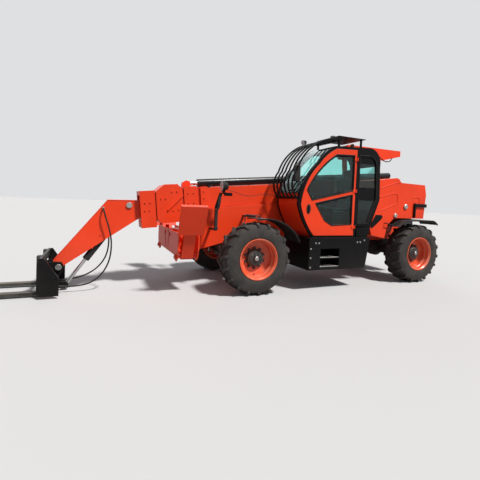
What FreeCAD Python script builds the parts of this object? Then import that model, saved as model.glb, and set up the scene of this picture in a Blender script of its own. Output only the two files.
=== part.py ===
import FreeCAD, Part
import math
import os
from types import SimpleNamespace

import Sketcher
from FreeCAD import Placement, Rotation, Vector

# Telehandler with a four-section boom, a cab on the left, an engine bay on the right,
# four-wheel steering, two front stabilizers and pallet forks on a tilting carriage.
# Millimetres and degrees. +X points forward, +Y to the machine's left, +Z up.
# The ground is at zero height, and the origin lies under the centre of the whole machine.

DIMENSIONS = (
    # name, value, what it sets
    ("wheelbase", 3640, "front axle to rear axle"),
    ("rear_reach", 4350, "front axle to the rear face of the counterweight"),
    ("half_track", 1000, "centreline to the middle plane of a wheel"),
    ("tyre_radius", 590, "ground to axle height"),
    ("tyre_width", 400, "over the lugs"),
    ("lug_height", 30, "tread lug above the carcass"),
    ("lug_count", 18, "lugs on each half of a tyre"),
    ("rim_radius", 335, "outer edge of the rim flange"),
    ("bead_radius", 305, "seat of the tyre on the rim"),
    ("seat_gap", 0.3, "clearance between pieces that seat on each other"),
    ("hub_radius", 130, "planetary hub"),
    ("hub_reach", 110, "wheel plane to the hub's outer end"),
    ("spindle_radius", 60, "knuckle spindle in the hub"),
    ("running_gap", 0.05, "radial clearance of a shaft in its bore"),
    ("kingpin_offset", 250, "wheel plane to the kingpin"),
    ("kingpin_radius", 25, "steering pin"),
    ("steer_arm", 200, "kingpin to the steering bar"),
    ("axle_height", 180, "depth of the axle beam"),
    ("axle_depth", 150, "front to rear of the axle beam"),
    ("frame_half_width", 350, "centreline to the outer face of a side plate"),
    ("frame_plate", 20, "side plate thickness"),
    ("frame_bottom", 500, "height of the belly plate"),
    ("beam_front", 1240, "front axle to the stabilizer beam's front face"),
    ("beam_depth", 340, "front to rear of the stabilizer beam"),
    ("beam_bottom", 610, "height of the stabilizer beam's underside"),
    ("beam_top", 980, "height of the stabilizer beam's top edge"),
    ("beam_half_width", 620, "closed part of the stabilizer beam"),
    ("beam_ear_reach", 880, "centreline to the tips of the beam's ears"),
    ("beam_plate", 20, "plate of the stabilizer beam"),
    ("stabilizer_pin_side", 750, "centreline to a stabilizer's hinge pin"),
    ("stabilizer_pin_height", 600, "ground to a stabilizer's hinge pin"),
    ("stabilizer_lean", 67, "stowed arm above the horizontal"),
    ("stabilizer_length", 660, "hinge pin to foot pin"),
    ("stabilizer_width", 200, "arm along the machine"),
    ("stabilizer_base_side", 200, "centreline to a stabilizer cylinder's base pin"),
    ("stabilizer_base_height", 900, "ground to a stabilizer cylinder's base pin"),
    ("stabilizer_eye_reach", 182, "hinge pin to the cylinder's eye, along the arm"),
    ("stabilizer_eye_inset", 124, "hinge pin to the cylinder's eye, across the arm"),
    ("foot_width", 410, "foot plate along the machine"),
    ("foot_below", 236, "foot pin to the foot plate's inner end"),
    ("foot_above", 240, "foot pin to the foot plate's outer end"),
    ("boom_slope", 5.5, "boom's fall to the front at rest"),
    ("pivot_back", 3750, "front axle back to the boom pivot"),
    ("pivot_height", 1895, "ground to the boom pivot"),
    ("boom_width", 540, "outer section"),
    ("boom_depth", 500, "outer section"),
    ("boom_wall", 8, "plate of every section"),
    ("boom_gap", 14, "room between one section and the next"),
    ("boom_reach", 4490, "pivot to the outer section's front end"),
    ("boom_tail", 330, "pivot to the outer section's rear end"),
    ("cylinder_radius", 72, "extension cylinder barrel"),
    ("cylinder_rise", 345, "boom axis to the extension cylinder's axis"),
    ("extension_rod_radius", 38, "extension cylinder rod"),
    ("head_two", 290, "second section's head, ahead of the outer section"),
    ("head_three", 470, "third section's head, ahead of the second's"),
    ("head_four", 260, "fourth section's head, ahead of the third's"),
    ("gooseneck_inset", 35, "front of the fourth section's head back to the gooseneck's plates"),
    ("gooseneck_reach", 1210, "start of the gooseneck's plates to the carriage pivot"),
    ("fork_heel", 215, "carriage pivot to the back of the forks"),
    ("fork_length", 1175, "back of the forks to their tips"),
    ("carriage_height", 390, "ground to the carriage pivot"),
    ("gooseneck_half_width", 110, "centreline to the outer face of a gooseneck plate"),
    ("gooseneck_plate", 20, "gooseneck side plate"),
    ("lift_pin_back", 3350, "front axle back to the lift cylinder's base pin"),
    ("lift_pin_height", 950, "ground to the lift cylinder's base pin"),
    ("lift_eye_reach", 2200, "boom pivot to the lift cylinder's eye, along the boom"),
    ("lift_eye_drop", 330, "boom axis down to the lift cylinder's eye"),
    ("lift_barrel_radius", 85, "lift cylinder"),
    ("lift_rod_radius", 50, "lift cylinder rod"),
    ("tilt_pin_reach", 200, "start of the gooseneck's plates to the tilt cylinder's base pin"),
    ("tilt_pin_height", 1370, "ground to the tilt cylinder's base pin"),
    ("tilt_eye_back", 90, "carriage pivot back to the tilt cylinder's eye"),
    ("tilt_eye_height", 85, "ground to the tilt cylinder's eye"),
    ("tilt_barrel_radius", 55, "tilt cylinder"),
    ("tilt_rod_radius", 28, "tilt cylinder rod"),
    ("cab_inner", 400, "centreline to the cab's inner wall"),
    ("cab_outer", 1110, "centreline to the cab's outer wall"),
    ("cab_pillar", 50, "thickness of the cab's side frames"),
    ("cab_sheet", 6, "thickness of panels and glass"),
    ("door_thickness", 40, "cab door"),
    ("door_face", 1125, "centreline to the door's outer face"),
    ("door_gap", 7, "gap round the door"),
    ("bay_inner", 400, "centreline to the engine bay's inner wall"),
    ("bay_outer", 1150, "centreline to the engine bay's outer wall"),
    ("bay_rear", 2420, "front axle back to the engine bay's rear wall"),
    ("bay_front", 850, "front axle back to the engine bay's front wall"),
    ("bay_sill", 940, "height where the hood meets the sill"),
    ("hood_top", 1600, "height of the hood at its hinge"),
    ("body_side", 1050, "centreline to the outer face of a rear body"),
    ("step_side", 1190, "centreline to the step box's outer face"),
    ("lamp_side", 650, "centreline to the outer face of a lamp's arm"),
    ("hose_diameter", 24, "free hydraulic hoses"),
)


class Size:
    """A length or an angle: its value now, and the same sum as text for the document."""

    def __init__(self, value, text):
        self.value = float(value)
        self.text = text

    def _with(self, other, sign, value):
        """The sum of this size and another, under the given sign."""
        return Size(value, f"({self.text} {sign} ({text_of(other)}))")

    def __add__(self, other):
        return self._with(other, "+", self.value + number(other))

    def __sub__(self, other):
        return self._with(other, "-", self.value - number(other))

    def __mul__(self, other):
        return self._with(other, "*", self.value * number(other))

    def __truediv__(self, other):
        return self._with(other, "/", self.value / number(other))

    def __radd__(self, other):
        return Size(other, repr(float(other))) + self

    def __rsub__(self, other):
        return Size(other, repr(float(other))) - self

    def __rmul__(self, other):
        return Size(other, repr(float(other))) * self

    def __neg__(self):
        return self * -1


def number(size):
    """The plain number behind a size."""
    return size.value if isinstance(size, Size) else float(size)


def text_of(size):
    """A size or a plain number as text for the document."""
    return size.text if isinstance(size, Size) else repr(float(size))


def sine(angle):
    """Sine of an angle in degrees."""
    if not isinstance(angle, Size):
        return math.sin(math.radians(angle))
    return Size(math.sin(math.radians(angle.value)), f"sin({angle.text} * 1 deg)")


def distance(first, second):
    """Distance between two points in one plane."""
    across, up = second[0] - first[0], second[1] - first[1]
    if not isinstance(across, Size):
        return math.hypot(across, number(up))
    return Size(math.hypot(across.value, number(up)), f"hypot({across.text}; {text_of(up)})")


def bearing(first, second):
    """Angle in degrees from one point up to another in the same plane."""
    across, up = second[0] - first[0], second[1] - first[1]
    value = math.degrees(math.atan2(number(up), number(across)))
    return Size(value, f"(atan2({text_of(up)}; {text_of(across)}) / 1 deg)")


def cosine(angle):
    """Cosine of an angle in degrees."""
    if not isinstance(angle, Size):
        return math.cos(math.radians(angle))
    return Size(math.cos(math.radians(angle.value)), f"cos({angle.text} * 1 deg)")


def read_dimensions():
    """Fill the sheet with the driving dimensions and return them as sizes."""
    sheet = doc.addObject("Spreadsheet::Sheet", "Dims")
    sizes = {}
    for row, (name, value, meaning) in enumerate(DIMENSIONS, start=1):
        sheet.set(f"A{row}", name)
        sheet.set(f"B{row}", str(value))
        sheet.set(f"C{row}", meaning)
        sheet.setAlias(f"B{row}", name)
        sizes[name] = Size(value, f"Dims.{name}")
    doc.recompute()
    return derive(SimpleNamespace(**sizes))


def derive(size):
    """Add the places that follow from the driving dimensions, all ahead of the front axle or the pivot."""
    size.head_reach_two = size.boom_reach + size.head_two
    size.head_reach_three = size.head_reach_two + size.head_three
    size.head_reach_four = size.head_reach_three + size.head_four
    size.gooseneck_ahead = size.head_reach_four * cosine(size.boom_slope) - size.pivot_back - size.gooseneck_inset
    size.tilt_pin_ahead = size.gooseneck_ahead + size.tilt_pin_reach
    size.carriage_ahead = size.gooseneck_ahead + size.gooseneck_reach
    size.tilt_eye_ahead = size.carriage_ahead - size.tilt_eye_back
    size.front_reach = size.carriage_ahead + size.fork_heel + size.fork_length
    return size


HINGE_HEIGHTS = (1120, 1780, 2360)
AXES = {"X": Vector(1, 0, 0), "Y": Vector(0, 1, 0), "Z": Vector(0, 0, 1)}
nodes = []


def bind(thing, prop, size):
    """Set a property to a size, and keep it bound to the sheet where it has one."""
    setattr(thing, prop, number(size))
    if isinstance(size, Size):
        thing.setExpression(prop, size.text)


def place(thing, x=0, y=0, z=0, axis="Y", turn=0):
    """Put an object at a point, turned about one axis through its own origin."""
    start = Rotation(AXES[axis], number(turn))
    thing.Placement = Placement(Vector(number(x), number(y), number(z)), start)
    for prop, size in (("Base.x", x), ("Base.y", y), ("Base.z", z), ("Rotation.Angle", turn)):
        if isinstance(size, Size):
            thing.setExpression(f"Placement.{prop}", size.text)
    return thing


def node(label, thing):
    """Name a finished piece and list it for export."""
    thing.Label = label
    nodes.append(thing)
    return thing


def box(name, x, y, z):
    """A box whose x, y and z are each given as (low, high)."""
    thing = doc.addObject("Part::Box", name)
    for prop, (low, high) in (("Length", x), ("Width", y), ("Height", z)):
        bind(thing, prop, high - low)
    return place(thing, x[0], y[0], z[0])


def rod(name, radius, length, start, along):
    """A cylinder from a start point along X, Y or Z."""
    thing = doc.addObject("Part::Cylinder", name)
    bind(thing, "Radius", radius)
    bind(thing, "Height", length)
    axis, turn = {"X": ("Y", 90), "Y": ("X", -90), "Z": ("Z", 0)}[along]
    return place(thing, *start, axis=axis, turn=turn)


def fuse(name, *shapes):
    """One shape from several that touch."""
    thing = doc.addObject("Part::MultiFuse", name)
    thing.Shapes = list(shapes)
    return thing


def group(name, *shapes):
    """Several solids kept together without joining them."""
    thing = doc.addObject("Part::Compound", name)
    thing.Links = list(shapes)
    return thing


def cut(name, base, *tools):
    """A shape with the tools taken away."""
    thing = doc.addObject("Part::Cut", name)
    thing.Base = base
    thing.Tool = tools[0] if len(tools) == 1 else group(name + "Tools", *tools)
    return thing


def mirrored(name, source, normal="Y", x=0):
    """A copy of an object on the other side of the plane through x, 0, 0."""
    thing = doc.addObject("Part::Mirroring", name)
    thing.Source = source
    thing.Normal = AXES[normal]
    if isinstance(x, Size):
        thing.setExpression("Base.x", x.text)
    return thing


def moved(name, source, x=0, y=0, z=0, axis="Y", turn=0):
    """A copy of an object at another place."""
    return place(group(name, source), x, y, z, axis, turn)


def add_outline(sketch, corners, closed=True):
    """Draw lines and arcs through corners whose coordinates stay bound to the sheet.

    A corner is (u, v), or (mid_u, mid_v, u, v) where an arc through the mid point leads to it.
    """
    points = [Vector(number(c[-2]), number(c[-1]), 0) for c in corners]
    first = 0 if closed else 1
    edges, rules, texts = [], [], []

    def fix(geometry, position, u, v):
        for kind, size in (("DistanceX", u), ("DistanceY", v)):
            rules.append(Sketcher.Constraint(kind, -1, 1, geometry, position, number(size)))
            texts.append(size.text if isinstance(size, Size) else None)

    for index in range(first, len(corners)):
        corner = corners[index]
        start, end = points[index - 1], points[index]
        if len(corner) == 2:
            edge = sketch.addGeometry(Part.LineSegment(start, end), False)
        else:
            middle = Vector(number(corner[0]), number(corner[1]), 0)
            edge = sketch.addGeometry(Part.Arc(start, middle, end), False)
            guide = sketch.addGeometry(Part.Point(middle), True)
            fix(guide, 1, corner[0], corner[1])
            rules.append(Sketcher.Constraint("PointOnObject", guide, 1, edge))
            texts.append(None)
        near_start = sketch.getPoint(edge, 1).distanceToPoint(start)
        turned = near_start > sketch.getPoint(edge, 2).distanceToPoint(start)
        edges.append((edge, (2, 1) if turned else (1, 2)))
        fix(edge, edges[-1][1][1], corner[-2], corner[-1])
    if not closed:
        fix(edges[0][0], edges[0][1][0], corners[0][0], corners[0][1])
    for place_in_chain in range(0 if closed else 1, len(edges)):
        (before, (_, tail)), (after, (head, _)) = edges[place_in_chain - 1], edges[place_in_chain]
        rules.append(Sketcher.Constraint("Coincident", before, tail, after, head))
        texts.append(None)
    for index, text in zip(sketch.addConstraint(rules), texts):
        if text:
            sketch.setExpression(f"Constraints[{index}]", text)
    return sketch


def sketch_in(body, plane, corners):
    """A closed outline on one of a body's own origin planes."""
    sketch = body.newObject("Sketcher::SketchObject", "Outline")
    support = [part for part in body.Origin.OriginFeatures if part.Role == f"{plane}_Plane"]
    sketch.AttachmentSupport = (support[0], [""])
    sketch.MapMode = "FlatFace"
    return add_outline(sketch, corners)


def plate(name, corners, thickness, middle=0, windows=(), plane="XZ"):
    """A plate: an outline padded to both sides of its plane, with windows cut through it.

    middle is where the plane lies along the axis that the plate is thick along.
    """
    body = doc.addObject("PartDesign::Body", name)
    pad = body.newObject("PartDesign::Pad", "Pad")
    pad.Profile = sketch_in(body, plane, corners)
    pad.SideType = "Symmetric"
    bind(pad, "Length", thickness)
    for window in windows:
        pocket = body.newObject("PartDesign::Pocket", "Window")
        pocket.Profile = sketch_in(body, plane, window)
        pocket.Type = "ThroughAll"
        pocket.SideType = "Symmetric"
    axis = {"XZ": "y", "YZ": "x", "XY": "z"}[plane]
    return place(body, **{axis: middle})


def turned(name, corners, x=0, y=0, z=0):
    """A solid of revolution about Y: corners are (radius, y)."""
    body = doc.addObject("PartDesign::Body", name)
    spin = body.newObject("PartDesign::Revolution", "Spin")
    spin.Profile = sketch_in(body, "XY", corners)
    spin.ReferenceAxis = (spin.Profile[0], ["V_Axis"])
    return place(body, x, y, z)


def band(name, corners, thickness, low, high):
    """A sheet that follows an open outline in side view, from one y to another.

    It is thick to the left of the way that the outline runs, or to the right if thickness is negative.
    """
    path = doc.addObject("Sketcher::SketchObject", name + "Path")
    path.Placement = Placement(Vector(), Rotation(AXES["X"], 90))
    add_outline(path, corners, closed=False)
    face = doc.addObject("Part::Offset2D", name + "Face")
    face.Source = path
    bind(face, "Value", thickness)
    face.Mode = "Skin"
    face.Fill = True
    face.Join = 2
    strip = doc.addObject("Part::Extrusion", name)
    strip.Base = face
    strip.DirMode = "Custom"
    strip.Dir = AXES["Y"]
    strip.Solid = True
    bind(strip, "LengthFwd", high - low)
    return place(strip, y=low)


def ring_plates(name, corners, thickness, outer):
    """A pair of plates, left and right, whose outer faces are at the given y."""
    left = plate(name + "Left", corners, thickness, outer - thickness / 2)
    return left, mirrored(name + "Right", left)


# The wheels


def build_tyre(size):
    """One tyre about the origin: carcass and two rows of bent lugs, half a pitch apart."""
    half = size.tyre_width / 2
    tread = size.tyre_radius - size.lug_height
    seat = size.bead_radius + size.seat_gap
    flange = size.rim_radius + size.seat_gap
    body = doc.addObject("PartDesign::Body", "Tyre")
    carcass = body.newObject("PartDesign::Revolution", "Carcass")
    carcass.Profile = sketch_in(body, "XY", (
        (seat, -half + 36), (seat, half - 36), (flange, half - 21), (flange + 12, half - 9),
        (flange + 100, half, tread - 20, half - 22), (tread, half - 60),
        (tread, -half + 60), (tread - 20, -half + 22), (flange + 100, -half, flange + 12, -half + 9),
        (flange, -half + 21)))
    carcass.ReferenceAxis = (carcass.Profile[0], ["V_Axis"])
    pitch = 360.0 / size.lug_count.value
    lugs = []
    for side, turn in ((1, 0.0), (-1, pitch / 2)):
        sketch = sketch_in(body, "YZ", (
            (side * -8, -58), (side * 95, 14), (side * (half - 4), 46),
            (side * (half - 4), 90), (side * 95, 62), (side * -8, -8)))
        tilt = Rotation(AXES["X"], turn)
        sketch.AttachmentOffset = Placement(tilt.multVec(Vector(0, 0, number(tread) - 45)), tilt)
        pad = body.newObject("PartDesign::Pad", "Lug")
        pad.Profile = sketch
        bind(pad, "Length", size.lug_height + 51)
        lugs.append(pad)
    ring = body.newObject("PartDesign::PolarPattern", "Ring")
    ring.Originals = lugs
    axis = [part for part in body.Origin.OriginFeatures if part.Role == "Y_Axis"]
    ring.Axis = (axis[0], [""])
    ring.Angle = 360
    ring.Occurrences = int(size.lug_count.value)
    body.Tip = ring
    return body


def build_wheels(size, front, rear):
    """Four tyres and four rims with their hubs."""
    half = size.tyre_width / 2
    tyre = build_tyre(size)
    tread_clip = turned("TyreClip", (
        (size.bead_radius + size.seat_gap, -half), (size.bead_radius + size.seat_gap, half),
        (size.tyre_radius - 40, half), (size.tyre_radius - 5, half - 25), (size.tyre_radius, half - 60),
        (size.tyre_radius, -half + 60), (size.tyre_radius - 5, -half + 25), (size.tyre_radius - 40, -half)))
    trimmed = doc.addObject("Part::Common", "TyreTrimmed")
    trimmed.Base = tyre
    trimmed.Tool = tread_clip
    bead, flange = size.bead_radius, size.rim_radius
    bore = size.spindle_radius + size.running_gap
    rim = turned("Rim", (
        (bore, -28), (bore, 45), (0, 45), (0, size.hub_reach), (50, size.hub_reach),
        (60, size.hub_reach - 18), (112, size.hub_reach - 25), (size.hub_radius, 62),
        (size.hub_radius, -6), (bead - 25, 18), (bead - 21, 95), (bead - 9, 108), (bead - 7, half - 30),
        (flange - 14, half - 4), (flange, half - 4), (flange, half - 20), (bead, half - 35),
        (bead, -half + 35), (flange, -half + 20), (flange, -half + 4), (flange - 14, -half + 4),
        (bead - 7, -half + 30), (bead - 9, -22), (bead - 21, -2), (size.hub_radius + 20, -28)))
    places = (("front_left", front, 1), ("front_right", front, -1), ("rear_left", rear, 1), ("rear_right", rear, -1))
    for corner, x, side in places:
        for piece, source in (("tyre", trimmed), ("rim", rim)):
            shape = source if side > 0 else mirrored(f"{piece}_{corner}_m", source)
            node(f"{piece}_{corner}", moved(f"{piece}_{corner}", shape, x, side * size.half_track, size.tyre_radius))


def build_knuckles(size, front, rear):
    """Four steering knuckles, each with a spindle, a yoke and an arm for the steering bar."""
    pin, reach = size.kingpin_radius, size.kingpin_offset
    lug = 55
    spindle = rod("Spindle", size.spindle_radius, 120, (0, -80, 0), "Y")
    drum = rod("BrakeHousing", 150, 90, (0, -125, 0), "Y")
    uppers = []
    for name, low, high in (("Upper", 110, 165), ("Lower", -165, -110)):
        arm = box(f"{name}Arm", (-lug, lug), (-reach, -100), (low, high))
        boss = rod(f"{name}Boss", lug, high - low, (0, -reach, low), "Z")
        uppers += [arm, boss]
    bore = rod("KingpinBore", pin + size.running_gap, 400, (0, -reach, -200), "Z")
    for axle, x, ahead in (("front", front, 1), ("rear", rear, -1)):
        arm = box(f"{axle}SteerArm", (0, ahead * size.steer_arm) if ahead > 0 else (ahead * size.steer_arm, 0),
                  (-reach - 25, -reach + 25), (-165, -135))
        end = rod(f"{axle}ArmEnd", 30, 30, (ahead * size.steer_arm, -reach, -165), "Z")
        whole = cut(f"{axle}Knuckle", fuse(f"{axle}KnuckleBody", spindle, drum, *uppers, arm, end), bore)
        for corner, side in (("left", 1), ("right", -1)):
            shape = whole if side > 0 else mirrored(f"{axle}KnuckleMirror", whole)
            label = f"knuckle_{axle}_{corner}"
            node(label, moved(label, shape, x, side * size.half_track, size.tyre_radius))


def build_axles(size, front, rear):
    """The two rigid steering axles with their kingpins and cylinders, and the bars they push."""
    pin_side = size.half_track - size.kingpin_offset
    height = size.tyre_radius
    for axle, x, ahead in (("front", front, 1), ("rear", rear, -1)):
        beam = box(f"{axle}Beam", (x - size.axle_depth / 2, x + size.axle_depth / 2),
                   (-pin_side, pin_side), (height - size.axle_height / 2, height + size.axle_height / 2))
        bowl = turned(f"{axle}Bowl", (
            (0, -190), (130, -170), (200, -70), (200, 70), (130, 170), (0, 190)), x, 0, height)
        nose = rod(f"{axle}Nose", 80, 300, (x - 300 if ahead > 0 else x, 0, height), "X")
        pieces = [beam, bowl, nose]
        for side in (1, -1):
            name = f"{axle}{'Left' if side > 0 else 'Right'}"
            pieces.append(rod(name + "End", 75, 210, (x, side * pin_side, height - 105), "Z"))
            pieces.append(rod(name + "Pin", size.kingpin_radius, 340, (x, side * pin_side, height - 170), "Z"))
            low = side * size.frame_half_width - (60 if side > 0 else -60)
            seat = sorted((low, side * size.frame_half_width), key=number)
            pieces.append(box(name + "Seat", (x - 130, x + 130), seat, (height + 60, 800)))
        bar_x = x + ahead * size.steer_arm
        bar_z = height - 108
        housing = rod(f"{axle}SteerCylinder", 42, 480, (bar_x, -240, bar_z), "Y")
        link = sorted((x, bar_x), key=number)
        bracket = box(f"{axle}SteerBracket", link, (-60, 60), (bar_z - 30, bar_z + 30))
        bore = rod(f"{axle}SteerBore", 22 + size.running_gap, 600, (bar_x, -300, bar_z), "Y")
        node(f"axle_{axle}", cut(f"{axle}Axle", fuse(f"{axle}AxleBody", *pieces, housing, bracket), bore))
        bar = rod(f"{axle}Bar", 22, pin_side * 2, (bar_x, -pin_side, bar_z), "Y")
        eyes = [rod(f"{axle}Eye{side}", 25, 50, (bar_x, side * pin_side, height - 135 + size.seat_gap), "Z") for side in (1, -1)]
        node(f"steering_bar_{axle}", fuse(f"{axle}SteeringBar", bar, *eyes))


def build_driveline(size, front, rear):
    """Transfer box under the belly and the two shafts to the axles."""
    height = size.tyre_radius
    middle = front - size.wheelbase / 2
    case = box("TransferCase", (middle - 260, middle + 260), (-190, 190),
               (size.frame_bottom + 12 + size.seat_gap, 900))
    front_shaft = rod("FrontShaft", 35, front - 300 - middle - 259, (middle + 259, 0, height), "X")
    rear_shaft = rod("RearShaft", 35, middle - 259 - rear - 300, (rear + 300, 0, height), "X")
    node("drive_line", fuse("DriveLine", case, front_shaft, rear_shaft))


# The chassis


def build_frame(size, front, rear):
    """Side plates, belly, stabilizer beam with its ears, pivot bosses and cylinder pins."""
    pivot_x = front - size.pivot_back
    top_back = size.pivot_height + 165
    side = (
        (front + size.beam_front - size.beam_depth, size.beam_bottom),
        (front + 310, 760), (front + 300, 800), (front - 450, 800), (front - 800, size.frame_bottom),
        (rear + 800, size.frame_bottom), (rear + 450, 800), (rear - 410, 800), (rear - 410, size.pivot_height - 45),
        (pivot_x - 220, top_back), (pivot_x + 250, top_back), (pivot_x + 750, 1640), (front - 600, 1490),
        (front + 720, 1345), (front + 750, 1000), (front + size.beam_front - size.beam_depth, size.beam_top))
    left, right = ring_plates("FrameSide", side, size.frame_plate, size.frame_half_width)
    inner = size.frame_half_width - size.frame_plate / 2
    belly = box("Belly", (rear + 800, front - 800), (-inner, inner), (size.frame_bottom, size.frame_bottom + 12))
    parts = [left, right, belly]
    for name, low, high, floor, roof in (
            ("FrontTie", front + 560, front + 580, 790, 1080),
            ("MiddleTie", front - 820, front - 800, 660, 1020),
            ("LiftTie", rear + 560, rear + 580, 700, 860),
            ("RearTie", rear - 400, rear - 380, 810, 1450)):
        parts.append(box(name, (low, high), (-inner, inner), (floor, roof)))
    pin = rod("BoomPin", 45, size.frame_half_width * 2 + 60, (pivot_x, -size.frame_half_width - 30, size.pivot_height), "Y")
    boss = rod("BoomBoss", 110, size.frame_half_width * 2 + 30, (pivot_x, -size.frame_half_width - 15, size.pivot_height), "Y")
    hollow = rod("BoomBossGap", 120, inner * 2, (pivot_x, -inner, size.pivot_height), "Y")
    parts += [cut("PivotBosses", boss, hollow), pin]
    lift_x, lift_z = front - size.lift_pin_back, size.lift_pin_height
    for sign in (1, -1):
        near, far = sorted((sign * 60, sign * 85))
        ear = plate(f"LiftEar{sign}", (
            (lift_x - 90, 800), (lift_x + 90, 800), (lift_x + 70, lift_z + 20), (lift_x, lift_z + 85),
            (lift_x - 70, lift_z + 20)), far - near, (near + far) / 2)
        parts.append(ear)
    parts.append(box("LiftEarBase", (lift_x - 130, lift_x + 130), (-inner, inner), (780, 802)))
    parts.append(rod("LiftPin", 35, 170, (lift_x, -85, lift_z), "Y"))
    node("chassis_frame", fuse("ChassisFrame", *parts))


def build_beam(size, front):
    """The stabilizer beam across the front: open above its ears, with hinge and base pins."""
    ahead = front + size.beam_front
    back = ahead - size.beam_depth
    wall, reach, closed = size.beam_plate, size.beam_ear_reach, size.beam_half_width
    pin_y, pin_z = size.stabilizer_pin_side, size.stabilizer_pin_height
    ear = (
        (-closed, size.beam_bottom), (-pin_y + 80, pin_z - 55), (-pin_y, pin_z - 75), (-pin_y - 75, pin_z - 20),
        (-reach, pin_z + 120), (-reach, size.beam_top), (reach, size.beam_top), (reach, pin_z + 120),
        (pin_y + 75, pin_z - 20), (pin_y, pin_z - 75), (pin_y - 80, pin_z - 55), (closed, size.beam_bottom))
    faces = [plate(f"Beam{name}", ear, wall, x, plane="YZ")
             for name, x in (("Front", ahead - wall / 2), ("Back", back + wall / 2))]
    floor = box("BeamFloor", (back, ahead), (-closed, closed), (size.beam_bottom, size.beam_bottom + wall))
    top = box("BeamTop", (back, ahead), (-130, 130), (size.beam_top - wall, size.beam_top))
    ribs = [box(f"BeamRib{index}", (back, ahead), (y, y + 16), (size.beam_bottom, size.beam_top))
            for index, y in enumerate((-130, 114))]
    pins = []
    for sign in (1, -1):
        stub = size.beam_depth / 2 - 38 + 15
        for end, low in (("Back", back - 15), ("Front", ahead + 15 - stub)):
            pins.append(rod(f"Stabilizer{end}Pin{sign}", 28, stub, (low, sign * pin_y, pin_z), "X"))
        pins.append(rod(f"StabilizerBase{sign}", 22, size.beam_depth,
                        (back, sign * size.stabilizer_base_side, size.stabilizer_base_height), "X"))
    node("stabilizer_beam", fuse("StabilizerBeam", *faces, floor, top, *ribs, *pins))


def build_stabilizers(size, front):
    """Left and right stabilizers: arm, foot and cylinder, stowed upright."""
    middle = front + size.beam_front - size.beam_depth / 2
    pin_y, pin_z = size.stabilizer_pin_side, size.stabilizer_pin_height
    length, half = size.stabilizer_length, size.stabilizer_width / 2
    lean = size.stabilizer_lean
    # The arm is drawn standing on its hinge pin: side view in YZ, the top leaning to +Y.
    body = plate("StabilizerBox", (
        (-48, 0), (0, -48, 48, 0), (42, length - 60), (0, length + 34, -42, length - 60)),
        size.stabilizer_width - 10, plane="YZ")
    bore = rod("StabilizerBore", 28 + size.running_gap, 400, (-200, 0, 0), "X")
    slot = box("StabilizerSlot", (-36, 36), (-200, 20), (-60, 400))
    foot_bore = rod("FootBore", 20 + size.running_gap, 400, (-200, 0, length), "X")
    arm = cut("StabilizerArm", body, bore, slot, foot_bore)
    eye_y, eye_z = -size.stabilizer_eye_inset, size.stabilizer_eye_reach
    lugs = [box(f"StabilizerLug{sign}", sorted((sign * 36, sign * 52)), (eye_y - 28, 0), (eye_z - 40, eye_z + 40))
            for sign in (1, -1)]
    heads = [rod(f"StabilizerEyePin{sign}", 20, 20, (36 if sign > 0 else -56, eye_y, eye_z), "X") for sign in (1, -1)]
    arm = fuse("StabilizerArmWhole", arm, *lugs, *heads)
    ends = (length - size.foot_below, length + size.foot_above)
    sole = box("FootSole", (-size.foot_width / 2, size.foot_width / 2), (60, 76), ends)
    lips = [box(f"FootLip{index}", (-size.foot_width / 2, size.foot_width / 2), (low, 76), (end, end + 14))
            for index, (low, end) in enumerate(((52, ends[0]), (10, ends[1] - 14)))]
    cheeks = []
    for sign in (1, -1):
        x = sorted((sign * (half + 2), sign * (half + 18)), key=number)
        cheeks.append(box(f"FootCheek{sign}", x, (-34, 61), (length - 60, length + 60)))
    foot_pin = rod("FootPin", 20, size.stabilizer_width + 36, (-half - 18, 0, length), "X")
    foot = fuse("Foot", sole, *lips, *cheeks, foot_pin)
    tilt = lean - 90
    barrel, shaft = stabilizer_cylinder(size, middle)
    for side, sign in (("left", 1), ("right", -1)):
        for label, shape in ((f"stabilizer_arm_{side}", arm), (f"stabilizer_foot_{side}", foot)):
            leaned = moved(f"{label}_leaned", shape, middle, pin_y, pin_z, "X", tilt)
            node(label, leaned if sign > 0 else mirrored(label, leaned))
        for label, shape in ((f"stabilizer_barrel_{side}", barrel), (f"stabilizer_rod_{side}", shaft)):
            node(label, group(label, shape) if sign > 0 else mirrored(label, shape))


def stabilizer_cylinder(size, middle):
    """The left stabilizer's cylinder, from its pin in the beam to its eye on the arm."""
    lean = size.stabilizer_lean
    base = (size.stabilizer_base_side, size.stabilizer_base_height)
    reach, inset = size.stabilizer_eye_reach, size.stabilizer_eye_inset
    eye = (size.stabilizer_pin_side + reach * cosine(lean) - inset * sine(lean),
           size.stabilizer_pin_height + reach * sine(lean) + inset * cosine(lean))
    barrel, shaft = cylinder_pieces("Stabilizer", distance(base, eye), 42, 24, 22, 34, 34, 30, 75, 378, size)
    placed = []
    for piece in (barrel, shaft):
        crosswise = moved(piece.Name + "Crosswise", piece, axis="Z", turn=90)
        placed.append(moved(piece.Name + "Placed", crosswise, middle, base[0], base[1], "X", bearing(base, eye)))
    return placed


def build_counterweight(size, front, rear):
    """The cast counterweight between the rear wheels."""
    back = front - size.rear_reach
    weight = plate("Counterweight", (
        (back, 780), (back, 1180), (back + 60, 1290), (rear - 410, 1290), (rear - 410, 720), (back + 80, 720)), 860)
    node("counterweight", weight)


# The boom


def along_boom(size, front, thing, reach=0, rise=0, y=0):
    """Put an object that is drawn along +X at a reach and rise on the boom's own axis."""
    slope = size.boom_slope
    x = front - size.pivot_back + reach * cosine(slope) + rise * sine(slope)
    z = size.pivot_height - reach * sine(slope) + rise * cosine(slope)
    return place(thing, x, y, z, "Y", slope)


def box_tube(name, length, width, depth, wall):
    """A square tube along X, centred on its axis."""
    outer = box(name + "Outer", (0, length), (-width / 2, width / 2), (-depth / 2, depth / 2))
    inner = box(name + "Inner", (-1, length + 1), (-width / 2 + wall, width / 2 - wall),
                (-depth / 2 + wall, depth / 2 - wall))
    return cut(name, outer, inner)


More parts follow.
